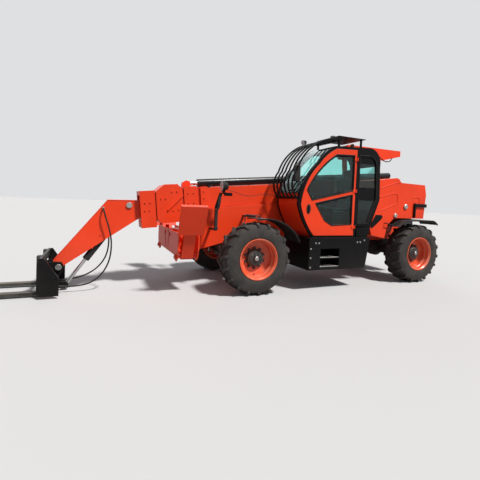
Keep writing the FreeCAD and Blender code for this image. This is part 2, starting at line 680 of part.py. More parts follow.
def build_boom(size, front):
    """Four telescoping sections, each with its head and its wear pads."""
    wall, gap, slope = size.boom_wall, size.boom_gap, size.boom_slope
    step = wall + gap
    seat = size.seat_gap
    tail = -size.boom_tail
    # name, rear end, front end, narrower than the outer section by, head from, head below, head above
    sections = (
        ("boom_outer", tail, size.boom_reach, 0, size.boom_reach - 120, 22, 22),
        ("boom_second", 150, size.head_reach_two - 10, 1, size.boom_reach + 60, 40, 60),
        ("boom_third", 240, size.head_reach_three - 10, 2, size.head_reach_two + 10, 110, 130),
        ("boom_fourth", 330, size.head_reach_four - 10, 3, size.head_reach_three + 10, 190, 60),
    )
    heads = (size.boom_reach, size.head_reach_two, size.head_reach_three, size.head_reach_four)
    built = {}
    for (name, back, ahead, steps, head_from, below, above), head_to in zip(sections, heads):
        width = size.boom_width - steps * 2 * step
        depth = size.boom_depth - steps * 2 * step
        inner_w, inner_d = width / 2 - wall, depth / 2 - wall
        length = ahead - back
        tube = along_boom(size, front, box_tube(name + "Tube", length, width, depth, wall), back)
        low, high = -depth / 2 - below, depth / 2 + above
        collar = box(name + "Collar", (0, head_to - head_from), (-width / 2 - 16, width / 2 + 16), (low, high))
        hole = box(name + "Hole", (-1, head_to - head_from + 1), (-inner_w, inner_w), (-inner_d, inner_d))
        head = along_boom(size, front, cut(name + "Head", collar, hole), head_from)
        pieces = [tube, head]
        if name != "boom_fourth":
            pad = gap - seat
            for side, (w, d, y, z) in enumerate((
                    (inner_w * 1.6, pad, -inner_w * 0.8, inner_d - pad), (inner_w * 1.6, pad, -inner_w * 0.8, -inner_d),
                    (pad, inner_d * 1.2, inner_w - pad, -inner_d * 0.6), (pad, inner_d * 1.2, -inner_w, -inner_d * 0.6))):
                block = box(f"{name}Pad{side}", (0, 140), (y, y + w), (z, z + d))
                pieces.append(place_on_boom(size, front, block, ahead - 150))
        built[name] = pieces
    built["boom_outer"] += outer_boom_fittings(size, front)
    built["boom_second"] += second_head_lug(size, front)
    built["boom_fourth"] += gooseneck(size, front)
    for name, pieces in built.items():
        whole = fuse(name.title().replace("_", ""), *pieces)
        if name == "boom_outer":
            bore = rod("PivotBore", 45 + size.running_gap, 900,
                       (front - size.pivot_back, -450, size.pivot_height), "Y")
            whole = cut("BoomOuterBored", whole, bore)
        node(name, whole)
    build_extension_cylinder(size, front)
    build_tail_guard(size, front)


def outer_boom_fittings(size, front):
    """Pivot tube, lift cylinder lugs and cylinder lugs on the outer section."""
    half = size.boom_depth / 2
    tube = rod("PivotTube", 78, size.frame_half_width * 2 - size.frame_plate * 2 - 10,
               (0, -size.frame_half_width + size.frame_plate + 5, 0), "Y")
    parts = [place_on_boom(size, front, tube)]
    for sign in (1, -1):
        lug = plate(f"LiftLug{sign}", (
            (-170, -half + 4), (-60, -size.lift_eye_drop - 55), (60, -size.lift_eye_drop - 55),
            (170, -half + 4)), 25, sign * 75)
        parts.append(along_boom(size, front, lug, size.lift_eye_reach, 0, sign * 75))
        cap = rod(f"LiftCap{sign}", 40, 30, (0, 0, 0), "Y")
        parts.append(along_boom(size, front, moved(f"LiftCapTurned{sign}", cap),
                                size.lift_eye_reach, -size.lift_eye_drop, 87 if sign > 0 else -117))
    return parts


def place_on_boom(size, front, thing, reach=0, rise=0, y=0):
    """The same as along_boom, for an object that has a turn of its own."""
    return along_boom(size, front, moved(thing.Name + "OnBoom", thing), reach, rise, y)


def second_head_lug(size, front):
    """The lug on the second section's head that the extension rod pushes."""
    lug = plate("ExtensionLug", (
        (-70, size.boom_depth / 2 - 30), (100, size.boom_depth / 2 - 30), (70, size.cylinder_rise + 20),
        (0, size.cylinder_rise + 55), (-70, size.cylinder_rise + 30)), 90)
    return [along_boom(size, front, lug, size.head_reach_two - 110)]


def build_extension_cylinder(size, front):
    """The long cylinder on top of the boom: barrel on the outer section, rod on the second."""
    radius, rise = size.cylinder_radius, size.cylinder_rise
    bore_radius = size.extension_rod_radius + 8
    length = size.boom_reach - 30 + 250
    barrel = rod("ExtensionTube", radius, length, (0, 0, 0), "X")
    bore = rod("ExtensionBore", bore_radius, length - 100, (60, 0, 0), "X")
    mouth = rod("ExtensionMouth", size.extension_rod_radius + size.running_gap, 200, (length - 100, 0, 0), "X")
    feet = [box(f"CylinderFoot{index}", (x, x + 90), (-60, 60), (size.boom_depth / 2 - rise + size.seat_gap, -30))
            for index, x in enumerate((120, 2300, length - 270))]
    whole = cut("ExtensionBarrel", fuse("ExtensionBarrelBody", barrel, *feet), bore, mouth)
    node("extension_barrel", along_boom(size, front, whole, -250, rise))
    reach = size.head_reach_two - 180
    shaft_length = size.boom_reach - 840
    shaft = rod("ExtensionShaft", size.extension_rod_radius, shaft_length, (0, 0, 0), "X")
    node("extension_rod", place_on_boom(size, front, shaft, reach - shaft_length - size.seat_gap, rise))


def build_tail_guard(size, front):
    """The folded guard that stands over the boom's rear end and carries the hoses."""
    outline = ((1085, 1049), (-489, 907), (-477, 778), (114, 694), (1112, 760))
    sides = [plate(f"GuardSide{sign}", outline, 8, sign * 150) for sign in (1, -1)]
    roof = plate("GuardRoof", ((1085, 1039), (-489, 897), (-489, 887), (1085, 1029)), 300)
    posts = [box(f"GuardPost{sign}", (900, 1000), sorted((sign * 100, sign * 150)), (size.boom_depth / 2, 1000))
             for sign in (1, -1)]
    guard = fuse("TailGuard", *sides, roof, *posts)
    node("tail_guard", place_on_boom(size, front, guard))


def gooseneck(size, front):
    """The bent arm on the fourth section's head, open below for the tilt cylinder."""
    width, wall = size.gooseneck_half_width, size.gooseneck_plate
    tip_x, tip_z = front + size.carriage_ahead, size.carriage_height
    start = front + size.gooseneck_ahead
    corners = (
        (start, 1180), (start, 1460), (start + 530, 1450), (tip_x + 80, tip_z + 100),
        (tip_x + 75, tip_z - 40), (tip_x, tip_z - 75), (tip_x - 80, tip_z + 20))
    left, right = ring_plates("GooseneckSide", corners, wall, width)
    parts = [left, right]
    inner = width - wall / 2
    parts.append(band("GooseneckTop", ((start, 1460), (start + 530, 1450), (tip_x + 80, tip_z + 100)), -16, -inner, inner))
    parts.append(rod("CarriagePin", 30, width * 2 + 130, (tip_x, -width - 65, tip_z), "Y"))
    parts.append(rod("TiltBasePin", 30, width * 2 + 30, (front + size.tilt_pin_ahead, -width - 15, size.tilt_pin_height), "Y"))
    parts.append(box("GooseneckFlange", (start - 10, start + 15), (-170, 170), (1080, 1500)))
    return parts


def build_carriage(size, front):
    """The tilting carriage and its two forks."""
    pin_x, pin_z = front + size.carriage_ahead, size.carriage_height
    heel = pin_x + size.fork_heel
    bore = rod("CarriageBore", 30 + size.running_gap, 700, (pin_x, -350, pin_z), "Y")
    width = size.gooseneck_half_width
    cheek = (
        (pin_x - 75, pin_z), (pin_x - 40, pin_z + 70), (pin_x + 60, pin_z + 80), (heel - 15, pin_z + 60),
        (heel - 15, 60), (pin_x + 60, 50))
    cheeks = []
    for sign in (1, -1):
        near, far = sorted((sign * (width + 8), sign * (width + 30)), key=number)
        cheeks.append(plate(f"CarriageCheek{sign}", cheek, far - near, (near + far) / 2))
    rails = [box(f"CarriageRail{index}", (heel - 35, heel), (-530, 530), (low, low + 110))
             for index, low in enumerate((60, 480))]
    end = ((heel, 590), (heel - 65, 590), (pin_x - 40, 300), (pin_x - 40, 40), (heel, 40))
    ends = [plate(f"CarriageEnd{sign}", end, 25, sign * 517) for sign in (1, -1)]
    ears, heads = [], []
    for sign in (1, -1):
        near, far = sorted((sign * 50, sign * 72))
        ear = plate(f"TiltEar{sign}", (
            (heel - 25, 60), (heel - 25, 170), (front + size.tilt_eye_ahead - 20, size.tilt_eye_height + 55),
            (front + size.tilt_eye_ahead - 50, size.tilt_eye_height), (front + size.tilt_eye_ahead, 40)), 22, (near + far) / 2)
        ears.append(ear)
        head = sorted((sign * 50, sign * 84))
        heads.append(rod(f"TiltPinHead{sign}", 26, 34, (front + size.tilt_eye_ahead, head[0], size.tilt_eye_height), "Y"))
    body = cut("CarriageBody", fuse("CarriageFrame", *cheeks, *rails, *ends, *ears, *heads), bore)
    tip = heel + size.fork_length
    forks = []
    for sign in (1, -1):
        near, far = sorted((sign * 260, sign * 380))
        fork = plate(f"Fork{sign}", (
            (heel, 600), (heel, 35), (heel + 600, 35), (tip, 62), (tip, 75), (heel + 45, 75), (heel + 45, 600)),
            far - near, (near + far) / 2)
        forks.append(fork)
    node("carriage", body)
    node("forks", group("Forks", *forks))


# Cylinders


def build_cylinders(size, front):
    """Lift and tilt cylinders, each a barrel and a rod that point from base pin to eye."""
    slope = size.boom_slope
    eye_x = front - size.pivot_back + size.lift_eye_reach * cosine(slope) - size.lift_eye_drop * sine(slope)
    eye_z = size.pivot_height - size.lift_eye_reach * sine(slope) - size.lift_eye_drop * cosine(slope)
    make_cylinder("lift", (front - size.lift_pin_back, size.lift_pin_height), (eye_x, eye_z),
                  size.lift_barrel_radius, size.lift_rod_radius, 35, 54, 54, 62, 130, 1170, size, 100)
    make_cylinder("tilt", (front + size.tilt_pin_ahead, size.tilt_pin_height),
                  (front + size.tilt_eye_ahead, size.tilt_eye_height),
                  size.tilt_barrel_radius, size.tilt_rod_radius, 30, 60, 45, 45, 480, 210, size)


def make_cylinder(name, base, eye, barrel_radius, rod_radius, pin_radius, base_half, eye_half, eye_radius,
                  nose, inside, size, neck=40):
    """A barrel and a rod in the plane of symmetry, from a base pin to an eye."""
    barrel, shaft = cylinder_pieces(
        name.title(), distance(base, eye), barrel_radius, rod_radius, pin_radius,
        base_half, eye_half, eye_radius, nose, inside, size, neck)
    for label, piece in ((f"{name}_barrel", barrel), (f"{name}_rod", shaft)):
        node(label, moved(label, piece, base[0], 0, base[1], "Y", -bearing(base, eye)))


def cylinder_pieces(name, length, barrel_radius, rod_radius, pin_radius, base_half, eye_half, eye_radius,
                    nose, inside, size, neck=40):
    """A barrel and a rod along +X from the base pin.

    The barrel starts at the distance neck after its pin and ends at nose before the eye, and that
    much of the rod as inside is in it.
    """
    end = length - nose
    knuckle = rod(name + "BaseEye", pin_radius + 25, base_half * 2, (0, -base_half, 0), "Y")
    bridge = box(name + "Neck", (0, neck + 5), (-base_half, base_half), (-pin_radius - 15, pin_radius + 15))
    tube = rod(name + "Tube", barrel_radius, end - neck, (neck, 0, 0), "X")
    pin_bore = rod(name + "BaseBore", pin_radius + size.running_gap, 400, (0, -200, 0), "Y")
    room = rod(name + "Bore", rod_radius + 6, end - pin_radius - 95, (pin_radius + 35, 0, 0), "X")
    mouth = rod(name + "Mouth", rod_radius + size.running_gap, 200, (end - 61, 0, 0), "X")
    barrel = cut(name + "Barrel", fuse(name + "BarrelBody", knuckle, bridge, tube), pin_bore, room, mouth)
    shaft = rod(name + "Shaft", rod_radius, nose + inside - eye_radius / 2, (end - inside, 0, 0), "X")
    head = rod(name + "Eye", eye_radius, eye_half * 2, (length, -eye_half, 0), "Y")
    return barrel, fuse(name + "Rod", shaft, head)


# The cab


def build_cab(size, front):
    """Side frames with their windows, floor, rear wall, roof, panel, glass, door and guard."""
    outline = (
        (front - 1060, 930), (front - 870, 1190, front - 740, 1500), (front - 785, 1745, front - 1105, 2240),
        (front - 1270, 2425, front - 1480, 2560), (front - 2280, 2600), (front - 2470, 2520, front - 2545, 2280),
        (front - 2575, 1640), (front - 2370, 1130), (front - 2040, 1110), (front - 2040, 930))
    door = door_outline(front, 0)
    gap = number(size.door_gap)
    opening = door_outline(front, gap)
    quarter = ((front - 2045, 1190), (front - 2045, 2440), (front - 2290, 2450), (front - 2400, 2400, front - 2455, 2260),
               (front - 2480, 1660), (front - 2290, 1190))
    right_window = ((front - 1150, 1300), (front - 860, 1520), (front - 920, 1760, front - 1200, 2180),
                    (front - 1340, 2340, front - 1520, 2460), (front - 2240, 2490), (front - 2400, 2400, front - 2440, 2260),
                    (front - 2470, 1660), (front - 2330, 1300))
    outer_mid = size.cab_outer - size.cab_pillar / 2
    inner_mid = size.cab_inner + size.cab_pillar / 2
    left = plate("CabLeft", outline, size.cab_pillar, outer_mid, (opening, quarter))
    right = plate("CabRight", outline, size.cab_pillar, inner_mid, (right_window,))
    low, high = size.cab_inner + size.cab_pillar - 1, size.cab_outer - size.cab_pillar + 1
    sheet = size.cab_sheet
    floor = box("CabFloor", (front - 2030, front - 1072), (low, high), (931, 951))
    back = band("CabBack", ((front - 2030, 1110), (front - 2370, 1130), (front - 2575, 1640)), -20, low, high)
    header = box("CabHeader", (front - 1545, front - 1485), (low, high), (2510, 2555))
    rear_header = box("CabRearHeader", (front - 2470, front - 2400), (low, high), (2440, 2500))
    roof = band("CabRoof", ((front - 1480, 2560), (front - 2280, 2600), (front - 2470, 2520, front - 2545, 2280)), 24, low - 40, high + 40)
    hinges = []
    for index, z in enumerate(HINGE_HEIGHTS):
        for end, low_z in enumerate((z - 46, z + 31)):
            hinges.append(box(f"HingeBracket{index}{end}", (front - 1996, front - 1970),
                              (size.cab_outer, size.door_face + 23), (low_z, low_z + 15)))
            hinges.append(box(f"HingeTongue{index}{end}", (front - 1970, front - 1965),
                              (size.door_face + 1, size.door_face + 23), (low_z, low_z + 15)))
            hinges.append(rod(f"HingeBoss{index}{end}", 11, 15, (front - 1965, size.door_face + 12, low_z), "Z"))
        hinges.append(rod(f"HingePin{index}", 7, 92, (front - 1965, size.door_face + 12, z - 46), "Z"))
    node("cab_frame", fuse("CabFrame", left, right, floor, back, header, rear_header, roof, *hinges))
    near, far = size.cab_inner + size.cab_pillar + size.seat_gap, size.cab_outer - size.cab_pillar - size.seat_gap
    panel = band("CabPanel", ((front - 1060, 932), (front - 870, 1190, front - 740, 1500), (front - 741, 1690)),
                 sheet, near, far)
    node("cab_panel", panel)
    screen = band("CabScreen", ((front - 741, 1695), (front - 850, 1900, front - 1105, 2240), (front - 1270, 2425, front - 1472, 2555)), sheet, near, far)
    quarter_glass = plate("QuarterGlass", quarter, sheet, outer_mid)
    right_glass = plate("RightGlass", right_window, sheet, inner_mid)
    rear_glass = plate("RearGlass", (
        (front - 2575, 1646), (front - 2545, 2275), (front - 2545 + sheet, 2275), (front - 2575 + sheet, 1646)),
        far - near, (near + far) / 2)
    node("cab_glass", group("CabGlass", screen, quarter_glass, right_glass, rear_glass))
    build_door(size, front, door)
    build_interior(size, front)
    build_guard(size, front)


def door_outline(front, gap):
    """The door's outline, or with a gap the opening that it closes."""
    return (
        (front - 1075 + gap, 965 - gap), (front - 905 + gap, 1200 - gap, front - 790 + gap, 1490),
        (front - 838 + gap, 1740, front - 1140 + gap, 2210 + gap),
        (front - 1300 + gap, 2385 + gap, front - 1500, 2510 + gap),
        (front - 1960 - gap, 2530 + gap), (front - 1950 - gap, 965 - gap))


def build_door(size, front, door):
    """The rear-hinged door with its two windows and glass."""
    upper = ((front - 900, 1750), (front - 1160, 2130, front - 1500, 2405), (front - 1905, 2425), (front - 1905, 1785), (front - 1010, 1580))
    lower = ((front - 1085, 1525), (front - 1890, 1710), (front - 1895, 1170), (front - 1450, 1145), (front - 1290, 1230))
    middle = size.door_face - size.door_thickness / 2
    leaf = plate("DoorLeaf", door, size.door_thickness, middle, (upper, lower))
    knuckles = []
    for index, z in enumerate(HINGE_HEIGHTS):
        knuckles.append(rod(f"DoorKnuckle{index}", 12, 60, (front - 1965, size.door_face + 12, z - 30), "Z"))
        knuckles.append(box(f"DoorStrap{index}", (front - 1965, front - 1900),
                            (size.door_face, size.door_face + 10), (z - 30, z + 30)))
    bore = rod("DoorHingeBore", 7 + size.running_gap, 1700, (front - 1965, size.door_face + 12, 950), "Z")
    node("cab_door", cut("CabDoor", fuse("DoorWhole", leaf, *knuckles), bore))
    node("door_glass", group("DoorGlass", plate("UpperGlass", upper, size.cab_sheet, middle),
                             plate("LowerGlass", lower, size.cab_sheet, middle)))


def build_interior(size, front):
    """Seat, console, column and wheel."""
    mid = (size.cab_inner + size.cab_outer) / 2
    base = box("SeatBase", (front - 1980, front - 1620), (mid - 180, mid + 180), (951, 1330))
    cushion = box("SeatCushion", (front - 2020, front - 1520), (mid - 240, mid + 240), (1330, 1450))
    rest = plate("SeatBack", ((front - 2060, 1430), (front - 1950, 1430), (front - 2060, 2100), (front - 2150, 2100)), 460, mid)
    console = plate("Console", ((front - 1130, 951), (front - 960, 1200), (front - 930, 1500), (front - 1080, 1560), (front - 1220, 951)), 360, mid)
    wheel = doc.addObject("Part::Torus", "SteeringRing")
    wheel.Radius1 = 190
    wheel.Radius2 = 16
    place(wheel, front - 1300, mid, 1640, "Y", -30)
    column = rod("SteeringColumn", 30, 330, (0, 0, 0), "Z")
    place(column, front - 1130, mid, 1370, "Y", -30)
    spokes = box("SteeringSpoke", (-18, 18), (-188, 188), (-10, 10))
    place(spokes, front - 1300 - 16, mid - 188, 1640 - 18, "Y", -30)
    node("cab_interior", group("CabInterior", fuse("Seat", base, cushion, rest), fuse("Controls", console, column, wheel, spokes)))


def roof_height(x_back):
    """Height of the roof's top at a distance behind the front axle, with the seat's clearance."""
    return 2560 + (x_back - 1480) * 0.05 + 0.3


def build_guard(size, front):
    """Curved bars before the windscreen and the plate over the roof."""
    path = ((front - 722, 1600), (front - 612, 1850, front - 700, 2090), (front - 1080, 2570, front - 1560, 2690))
    bars = []
    count = 6
    low, high = size.cab_inner + 30, size.cab_outer - 50
    for index in range(count):
        y = low + (high - low) * index / (count - 1)
        bars.append(band(f"GuardBar{index}", path, 26, y, y + 22))
    rails = [box("GuardLowRail", (front - 739.7, front - 712), (low - 10, high + 32), (1590, 1630)),
             box("GuardTopRail", (front - 1600, front - 1540), (low - 10, high + 32), (2660, 2720))]
    top = box("GuardPlate", (front - 2180, front - 1560), (low, high + 22), (2745, 2757))
    legs = [box(f"GuardLeg{index}", (front - x, front - x + 30), (y, y + 30), (roof_height(x), 2746))
            for index, (x, y) in enumerate(((2100, low), (2100, high - 10), (1595, low), (1595, high - 10)))]
    node("cab_guard", fuse("CabGuard", *bars, *rails, top, *legs))


# Covers, steps and lamps


def build_bodies(size, front, rear):
    """The rear bodies over the rear wheels, left and right."""
    corners = (
        (rear + 1020, 2030), (rear + 550, 2100), (rear + 430, 2010), (rear - 240, 2000), (rear - 290, 1800),
        (rear - 240, 1300), (rear + 590, 1300), (rear + 760, 1160), (rear + 830, 900), (rear + 1170, 960),
        (rear + 1220, 1120), (rear + 1040, 1600))
    inner, outer = size.frame_half_width, size.body_side
    left = plate("RearBody", corners, outer - inner, (inner + outer) / 2)
    room = rod("PivotRoom", 125, 60, (front - size.pivot_back, inner - 10, size.pivot_height), "Y")
    node("rear_body_left", cut("RearBodyLeft", left, room))
    right = ((rear + 1020, 1700), (rear + 430, 1700), (rear - 240, 1660), (rear - 290, 1560), (rear - 240, 1300),
             (rear + 590, 1300), (rear + 760, 1160), (rear + 830, 900), (rear + 1180, 900), (rear + 1180, 1700))
    node("rear_body_right", plate("RearBodyRight", right, outer - inner, -(inner + outer) / 2))


def build_engine_bay(size, front):
    """Tray, engine block, exhaust and the hood that opens upward."""
    x0, x1 = front - size.bay_rear, front - size.bay_front
    inner, outer, sill = size.bay_inner, size.bay_outer, size.bay_sill
    tray = box("BayTray", (x0, x1), (-outer + 20, -size.frame_half_width), (640, 652))
    skirt = box("BaySkirt", (x0, x1), (-outer + 10, -outer + 16), (640, sill))
    ends = [box(f"BayEnd{index}", (x, x + 6), (-outer + 10, -size.frame_half_width), (640, sill))
            for index, x in enumerate((x0, x1 - 6))]
    wall = box("BayWall", (x0, x1), (-inner, -inner + 6), (640, size.hood_top - 30))
    hinges, knuckles = [], []
    for index, x in enumerate((x0 + 150, (x0 + x1) / 2 - 40, x1 - 230)):
        knuckles.append(rod(f"HoodKnuckle{index}", 14, 80, (x, -inner, size.hood_top), "X"))
        hinges.append(rod(f"HoodPin{index}", 7, 112, (x - 16, -inner, size.hood_top), "X"))
        for end, low in enumerate((x - 16, x + 81)):
            hinges.append(rod(f"HoodBoss{index}{end}", 11, 15, (low, -inner, size.hood_top), "X"))
            hinges.append(box(f"HoodBracket{index}{end}", (low, low + 15), (-inner - 11, -inner + 6),
                              (size.hood_top - 60, size.hood_top)))
    node("engine_bay", fuse("EngineBay", tray, skirt, *ends, wall, *hinges))
    node("engine_block", box("EngineBlock", (x0 + 250, x1 - 350), (-outer + 170, -inner - 60), (652.3, 1400)))
    shell = (
        (-inner - 13, size.hood_top), (-outer + 120, size.hood_top - 30), (-outer, size.hood_top - 170), (-outer, sill + 3),
        (-outer + 6, sill + 3), (-outer + 6, size.hood_top - 168), (-outer + 122, size.hood_top - 36), (-inner - 13, size.hood_top - 6))
    skin = plate("HoodSkin", shell, x1 - x0, (x0 + x1) / 2, plane="YZ")
    end = (
        (-inner - 13, size.hood_top - 3), (-outer + 120, size.hood_top - 33), (-outer + 3, size.hood_top - 170), (-outer + 3, sill + 3),
        (-inner - 13, sill + 3))
    caps = [plate(f"HoodEnd{index}", end, 6, x, plane="YZ") for index, x in enumerate((x0 + 3, x1 - 3))]
    slots = [box(f"HoodSlot{index}", (x1 - 260 - 110 * index - 70, x1 - 260 - 110 * index), (-outer - 5, -outer + 20), (1060, 1330))
             for index in range(10)]
    bore = rod("HoodHingeBore", 7 + size.running_gap, x1 - x0, (x0, -inner, size.hood_top), "X")
    node("engine_hood", cut("EngineHood", fuse("HoodWhole", skin, *caps, *knuckles), bore, *slots))


def build_step_box(size, front):
    """The box of steps under the cab door."""
    x0, x1 = front - 2200, front - 950
    inner, outer = size.frame_half_width, size.step_side
    shell = box("StepShell", (x0, x1), (inner, outer), (370, 930))
    hollow = box("StepHollow", (front - 1600, front - 1190), (outer - 300, outer + 10), (400, 740))
    treads = [box(f"StepTread{index}", (front - 1601, front - 1189), (outer - 240, outer - 10), (z, z + 25))
              for index, z in enumerate((400, 560))]
    node("step_box", fuse("StepBox", cut("StepShellCut", shell, hollow), *treads))


def build_fenders(size, front, rear):
    """Bent sheets over the rear half of each wheel, on stays from the frame."""
    sheets = []
    low, high = size.half_track - 200, size.half_track + 190
    for name, x, path, crown in (
            ("Front", front, ((60, 1236), (-300, 1236), (-620, 1060), (-780, 850)), 1236),
            ("Rear", rear, ((600, 1130), (430, 1262), (-260, 1262), (-420, 1200)), 1262)):
        left = band(f"{name}Fender", [(x + along, z) for along, z in path], 6, low, high)
        stay = box(f"{name}Stay", (x - 180, x - 140), (size.frame_half_width, low + 20), (crown - 1, crown + 25))
        whole = fuse(f"{name}FenderLeft", left, stay)
        sheets += [whole, mirrored(f"{name}FenderRight", whole)]
    node("fenders", group("Fenders", *sheets))


def build_lamps(size, front):
    """Round lamps on slotted arms that lean back from brackets on the side plates."""
    x = front + 590
    arm = plate("LampArm", (
        (x - 55, 1000), (x, 1000), (x, 1400), (x - 75, 1640), (x - 130, 1640), (x - 60, 1390)),
        12, size.lamp_side - 6, (((x - 40, 1040), (x - 15, 1040), (x - 15, 1370), (x - 42, 1370)),))
    bracket = box("LampBracket", (x - 50, x - 5), (size.frame_half_width, size.lamp_side - 11), (1005, 1030))
    stem = box("LampStem", (x - 125, x - 85), (size.lamp_side - 20, size.lamp_side + 40), (1620, 1632))
    lamp = rod("RoundLamp", 62, 75, (x - 190, size.lamp_side, 1755), "X")
    neck = box("LampNeck", (x - 170, x - 130), (size.lamp_side - 20, size.lamp_side + 20), (1620, 1710))
    block = box("BoxLamp", (x - 290, x - 165), (size.lamp_side - 35, size.lamp_side + 35), (1590, 1645))
    left = fuse("LampArmLeft", arm, bracket, stem, neck, lamp, block)
    arms = [left, mirrored("LampArmRight", left)]
    node("lamps", group("Lamps", *arms))


def hose(name, points, diameter):
    """A hose along straight runs joined by arcs as large as the runs allow."""
    stops = [Vector(*point) for point in points]
    edges, start, radii = [], stops[0], []
    for before, corner, after in zip(stops, stops[1:], stops[2:]):
        back, ahead = before - corner, after - corner
        half_turn = (math.pi - back.getAngle(ahead)) / 2
        trim = 0.45 * min(back.Length, ahead.Length)
        radius = trim / math.tan(half_turn)
        radii.append(round(radius))
        back.normalize()
        ahead.normalize()
        inward = (back + ahead).normalize()
        first, last = corner + back * trim, corner + ahead * trim
        middle = corner + inward * (radius / math.cos(half_turn) - radius)
        edges += [Part.LineSegment(start, first).toShape(), Part.Arc(first, middle, last).toShape()]
        start = last
    edges.append(Part.LineSegment(start, stops[-1]).toShape())
    path = Part.Wire(edges)
    circle = Part.Circle(stops[0], stops[1] - stops[0], number(diameter) / 2)
    tube = doc.addObject("Part::Feature", name)
    tube.Shape = path.makePipeShell([Part.Wire(circle.toShape())], True, True)
    ideal = math.pi * (number(diameter) / 2) ** 2 * path.Length
    print(name, "radii", radii, "length", round(path.Length), "volume", round(tube.Shape.Volume / ideal, 4))
    return node(name, tube)


def build_hoses(size):
    """The two hoses that hang from the gooseneck's sides to the carriage's lower rail."""
    side = number(size.gooseneck_half_width)
    rail = number(front_axle + size.carriage_ahead + size.fork_heel) - 35
    hose("hose_left", (
        (2320, side, 1314), (2320, side + 60, 1314), (2309, side + 98, 1258), (2282, 213, 1160), (2232, 215, 1010),
        (2190, 215, 810), (2190, 215, 610), (2231, 215, 418), (2331, 215, 245), (2488, 215, 126),
        (2695, 215, 92), (2908, 215, 104), (rail, 215, 104)), size.hose_diameter)
    hose("hose_right", (
        (2290, -side, 1250), (2290, -side - 60, 1250), (2279, -side - 98, 1194), (2255, -211, 1100),
        (2228, -213, 950), (2213, -213, 770), (2224, -213, 584), (2283, -213, 413), (2400, -213, 270),
        (2560, -213, 170), (2740, -213, 122), (2928, -213, 108), (rail, -213, 108)), size.hose_diameter)


def export_nodes():
    """Recompute, check every object and write each node to its own file."""
    doc.recompute()
    faults = [thing.Label for thing in doc.Objects if {"Invalid", "Error"} & set(thing.State)]
    for thing in nodes:
        shape = thing.Shape
        if shape.isNull() or not shape.isValid() or not shape.Solids:
            faults.append(thing.Label + " has no valid solid")
    if faults:
        raise RuntimeError("Failed objects: " + ", ".join(faults))
    os.makedirs("parts", exist_ok=True)
    for thing in nodes:
        thing.Shape.exportStep(f"parts/{thing.Label}.step")


doc = FreeCAD.newDocument("Telehandler")
dims = read_dimensions()
front_axle = (dims.rear_reach - dims.front_reach) / 2
rear_axle = front_axle - dims.wheelbase

build_wheels(dims, front_axle, rear_axle)
build_knuckles(dims, front_axle, rear_axle)
build_axles(dims, front_axle, rear_axle)
build_driveline(dims, front_axle, rear_axle)
build_frame(dims, front_axle, rear_axle)
build_beam(dims, front_axle)
build_stabilizers(dims, front_axle)
build_counterweight(dims, front_axle, rear_axle)
build_boom(dims, front_axle)
build_carriage(dims, front_axle)
build_cylinders(dims, front_axle)
build_cab(dims, front_axle)
build_bodies(dims, front_axle, rear_axle)
build_engine_bay(dims, front_axle)
build_step_box(dims, front_axle)
build_fenders(dims, front_axle, rear_axle)
build_lamps(dims, front_axle)
build_hoses(dims)
export_nodes()
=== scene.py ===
import functools
import itertools
import logging
import math
from dataclasses import dataclass
from enum import Enum
from typing import Callable, Iterable, Sequence

import bmesh
import bpy
from mathutils import Matrix, Vector


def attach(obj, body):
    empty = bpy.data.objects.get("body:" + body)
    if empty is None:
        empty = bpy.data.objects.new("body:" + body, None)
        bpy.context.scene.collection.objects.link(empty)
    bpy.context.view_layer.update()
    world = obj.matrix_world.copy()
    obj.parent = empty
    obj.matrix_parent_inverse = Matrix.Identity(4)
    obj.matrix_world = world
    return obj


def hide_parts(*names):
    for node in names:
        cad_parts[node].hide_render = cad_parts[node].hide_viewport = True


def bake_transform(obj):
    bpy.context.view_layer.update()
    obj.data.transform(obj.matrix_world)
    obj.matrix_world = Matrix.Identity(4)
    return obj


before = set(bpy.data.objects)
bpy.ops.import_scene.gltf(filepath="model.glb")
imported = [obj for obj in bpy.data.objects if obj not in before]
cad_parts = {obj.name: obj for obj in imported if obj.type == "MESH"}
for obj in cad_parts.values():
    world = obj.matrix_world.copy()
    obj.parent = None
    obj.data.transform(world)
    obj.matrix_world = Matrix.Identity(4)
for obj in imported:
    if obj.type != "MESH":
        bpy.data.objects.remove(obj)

log = logging.getLogger("telehandler")

Point = Sequence[float]
Colour = tuple[float, float, float]

FRONT_AXLE = 0.02518
REAR_AXLE = FRONT_AXLE - 3.640
AXLE_HEIGHT = 0.59
HALF_TRACK = 1.0
SIDES = (1, -1)
OUTWARDS = {side: (0.0, side, 0.0) for side in SIDES}
SMOOTH_ANGLE = math.radians(35)
BEVEL_SAMPLES = 4
BEVEL_SEGMENTS = 2
ACROSS_TO_RADIUS = 0.577
ACROSS_TO_WASHER = 0.72
HEIGHT_TO_SEAT = 0.25
STRIP_STEP = 0.012


class Slot(Enum):
    """The record's material slots."""

    ORANGE = "orange_paint"
    BLACK = "black_paint"
    CAST = "cast"
    CHROME = "chrome_rod"
    RIM = "rim_paint"
    TYRE = "tyre"
    GLASS = "glass"
    PLASTIC = "black_plastic"
    HOSE = "hose"


class Axis(Enum):
    """The machine's axes, as unit vectors."""

    X = (1.0, 0.0, 0.0)
    Y = (0.0, 1.0, 0.0)
    Z = (0.0, 0.0, 1.0)

    @property
    def vector(self) -> Vector:
        """The axis as a Vector."""
        return Vector(self.value)


class Ends(Enum):
    """What closes a row of rings."""

    CAPS = "a face on the first and the last ring"
    OPEN = "nothing"
    JOINED = "faces from the last ring to the first"


def ahead(x_from_axle: float) -> float:
    """The x of a point given by its distance ahead of the front axle."""
    return x_from_axle + FRONT_AXLE


def placed(points: Iterable[Point]) -> list[Point]:
    """Points whose x is given from the front axle, in the machine's frame."""
    return [(ahead(x), *rest) for x, *rest in points]


def shade(colour: Colour, factor: float) -> Colour:
    """A colour made darker or lighter by a factor."""
    return tuple(min(1.0, part * factor) for part in colour)


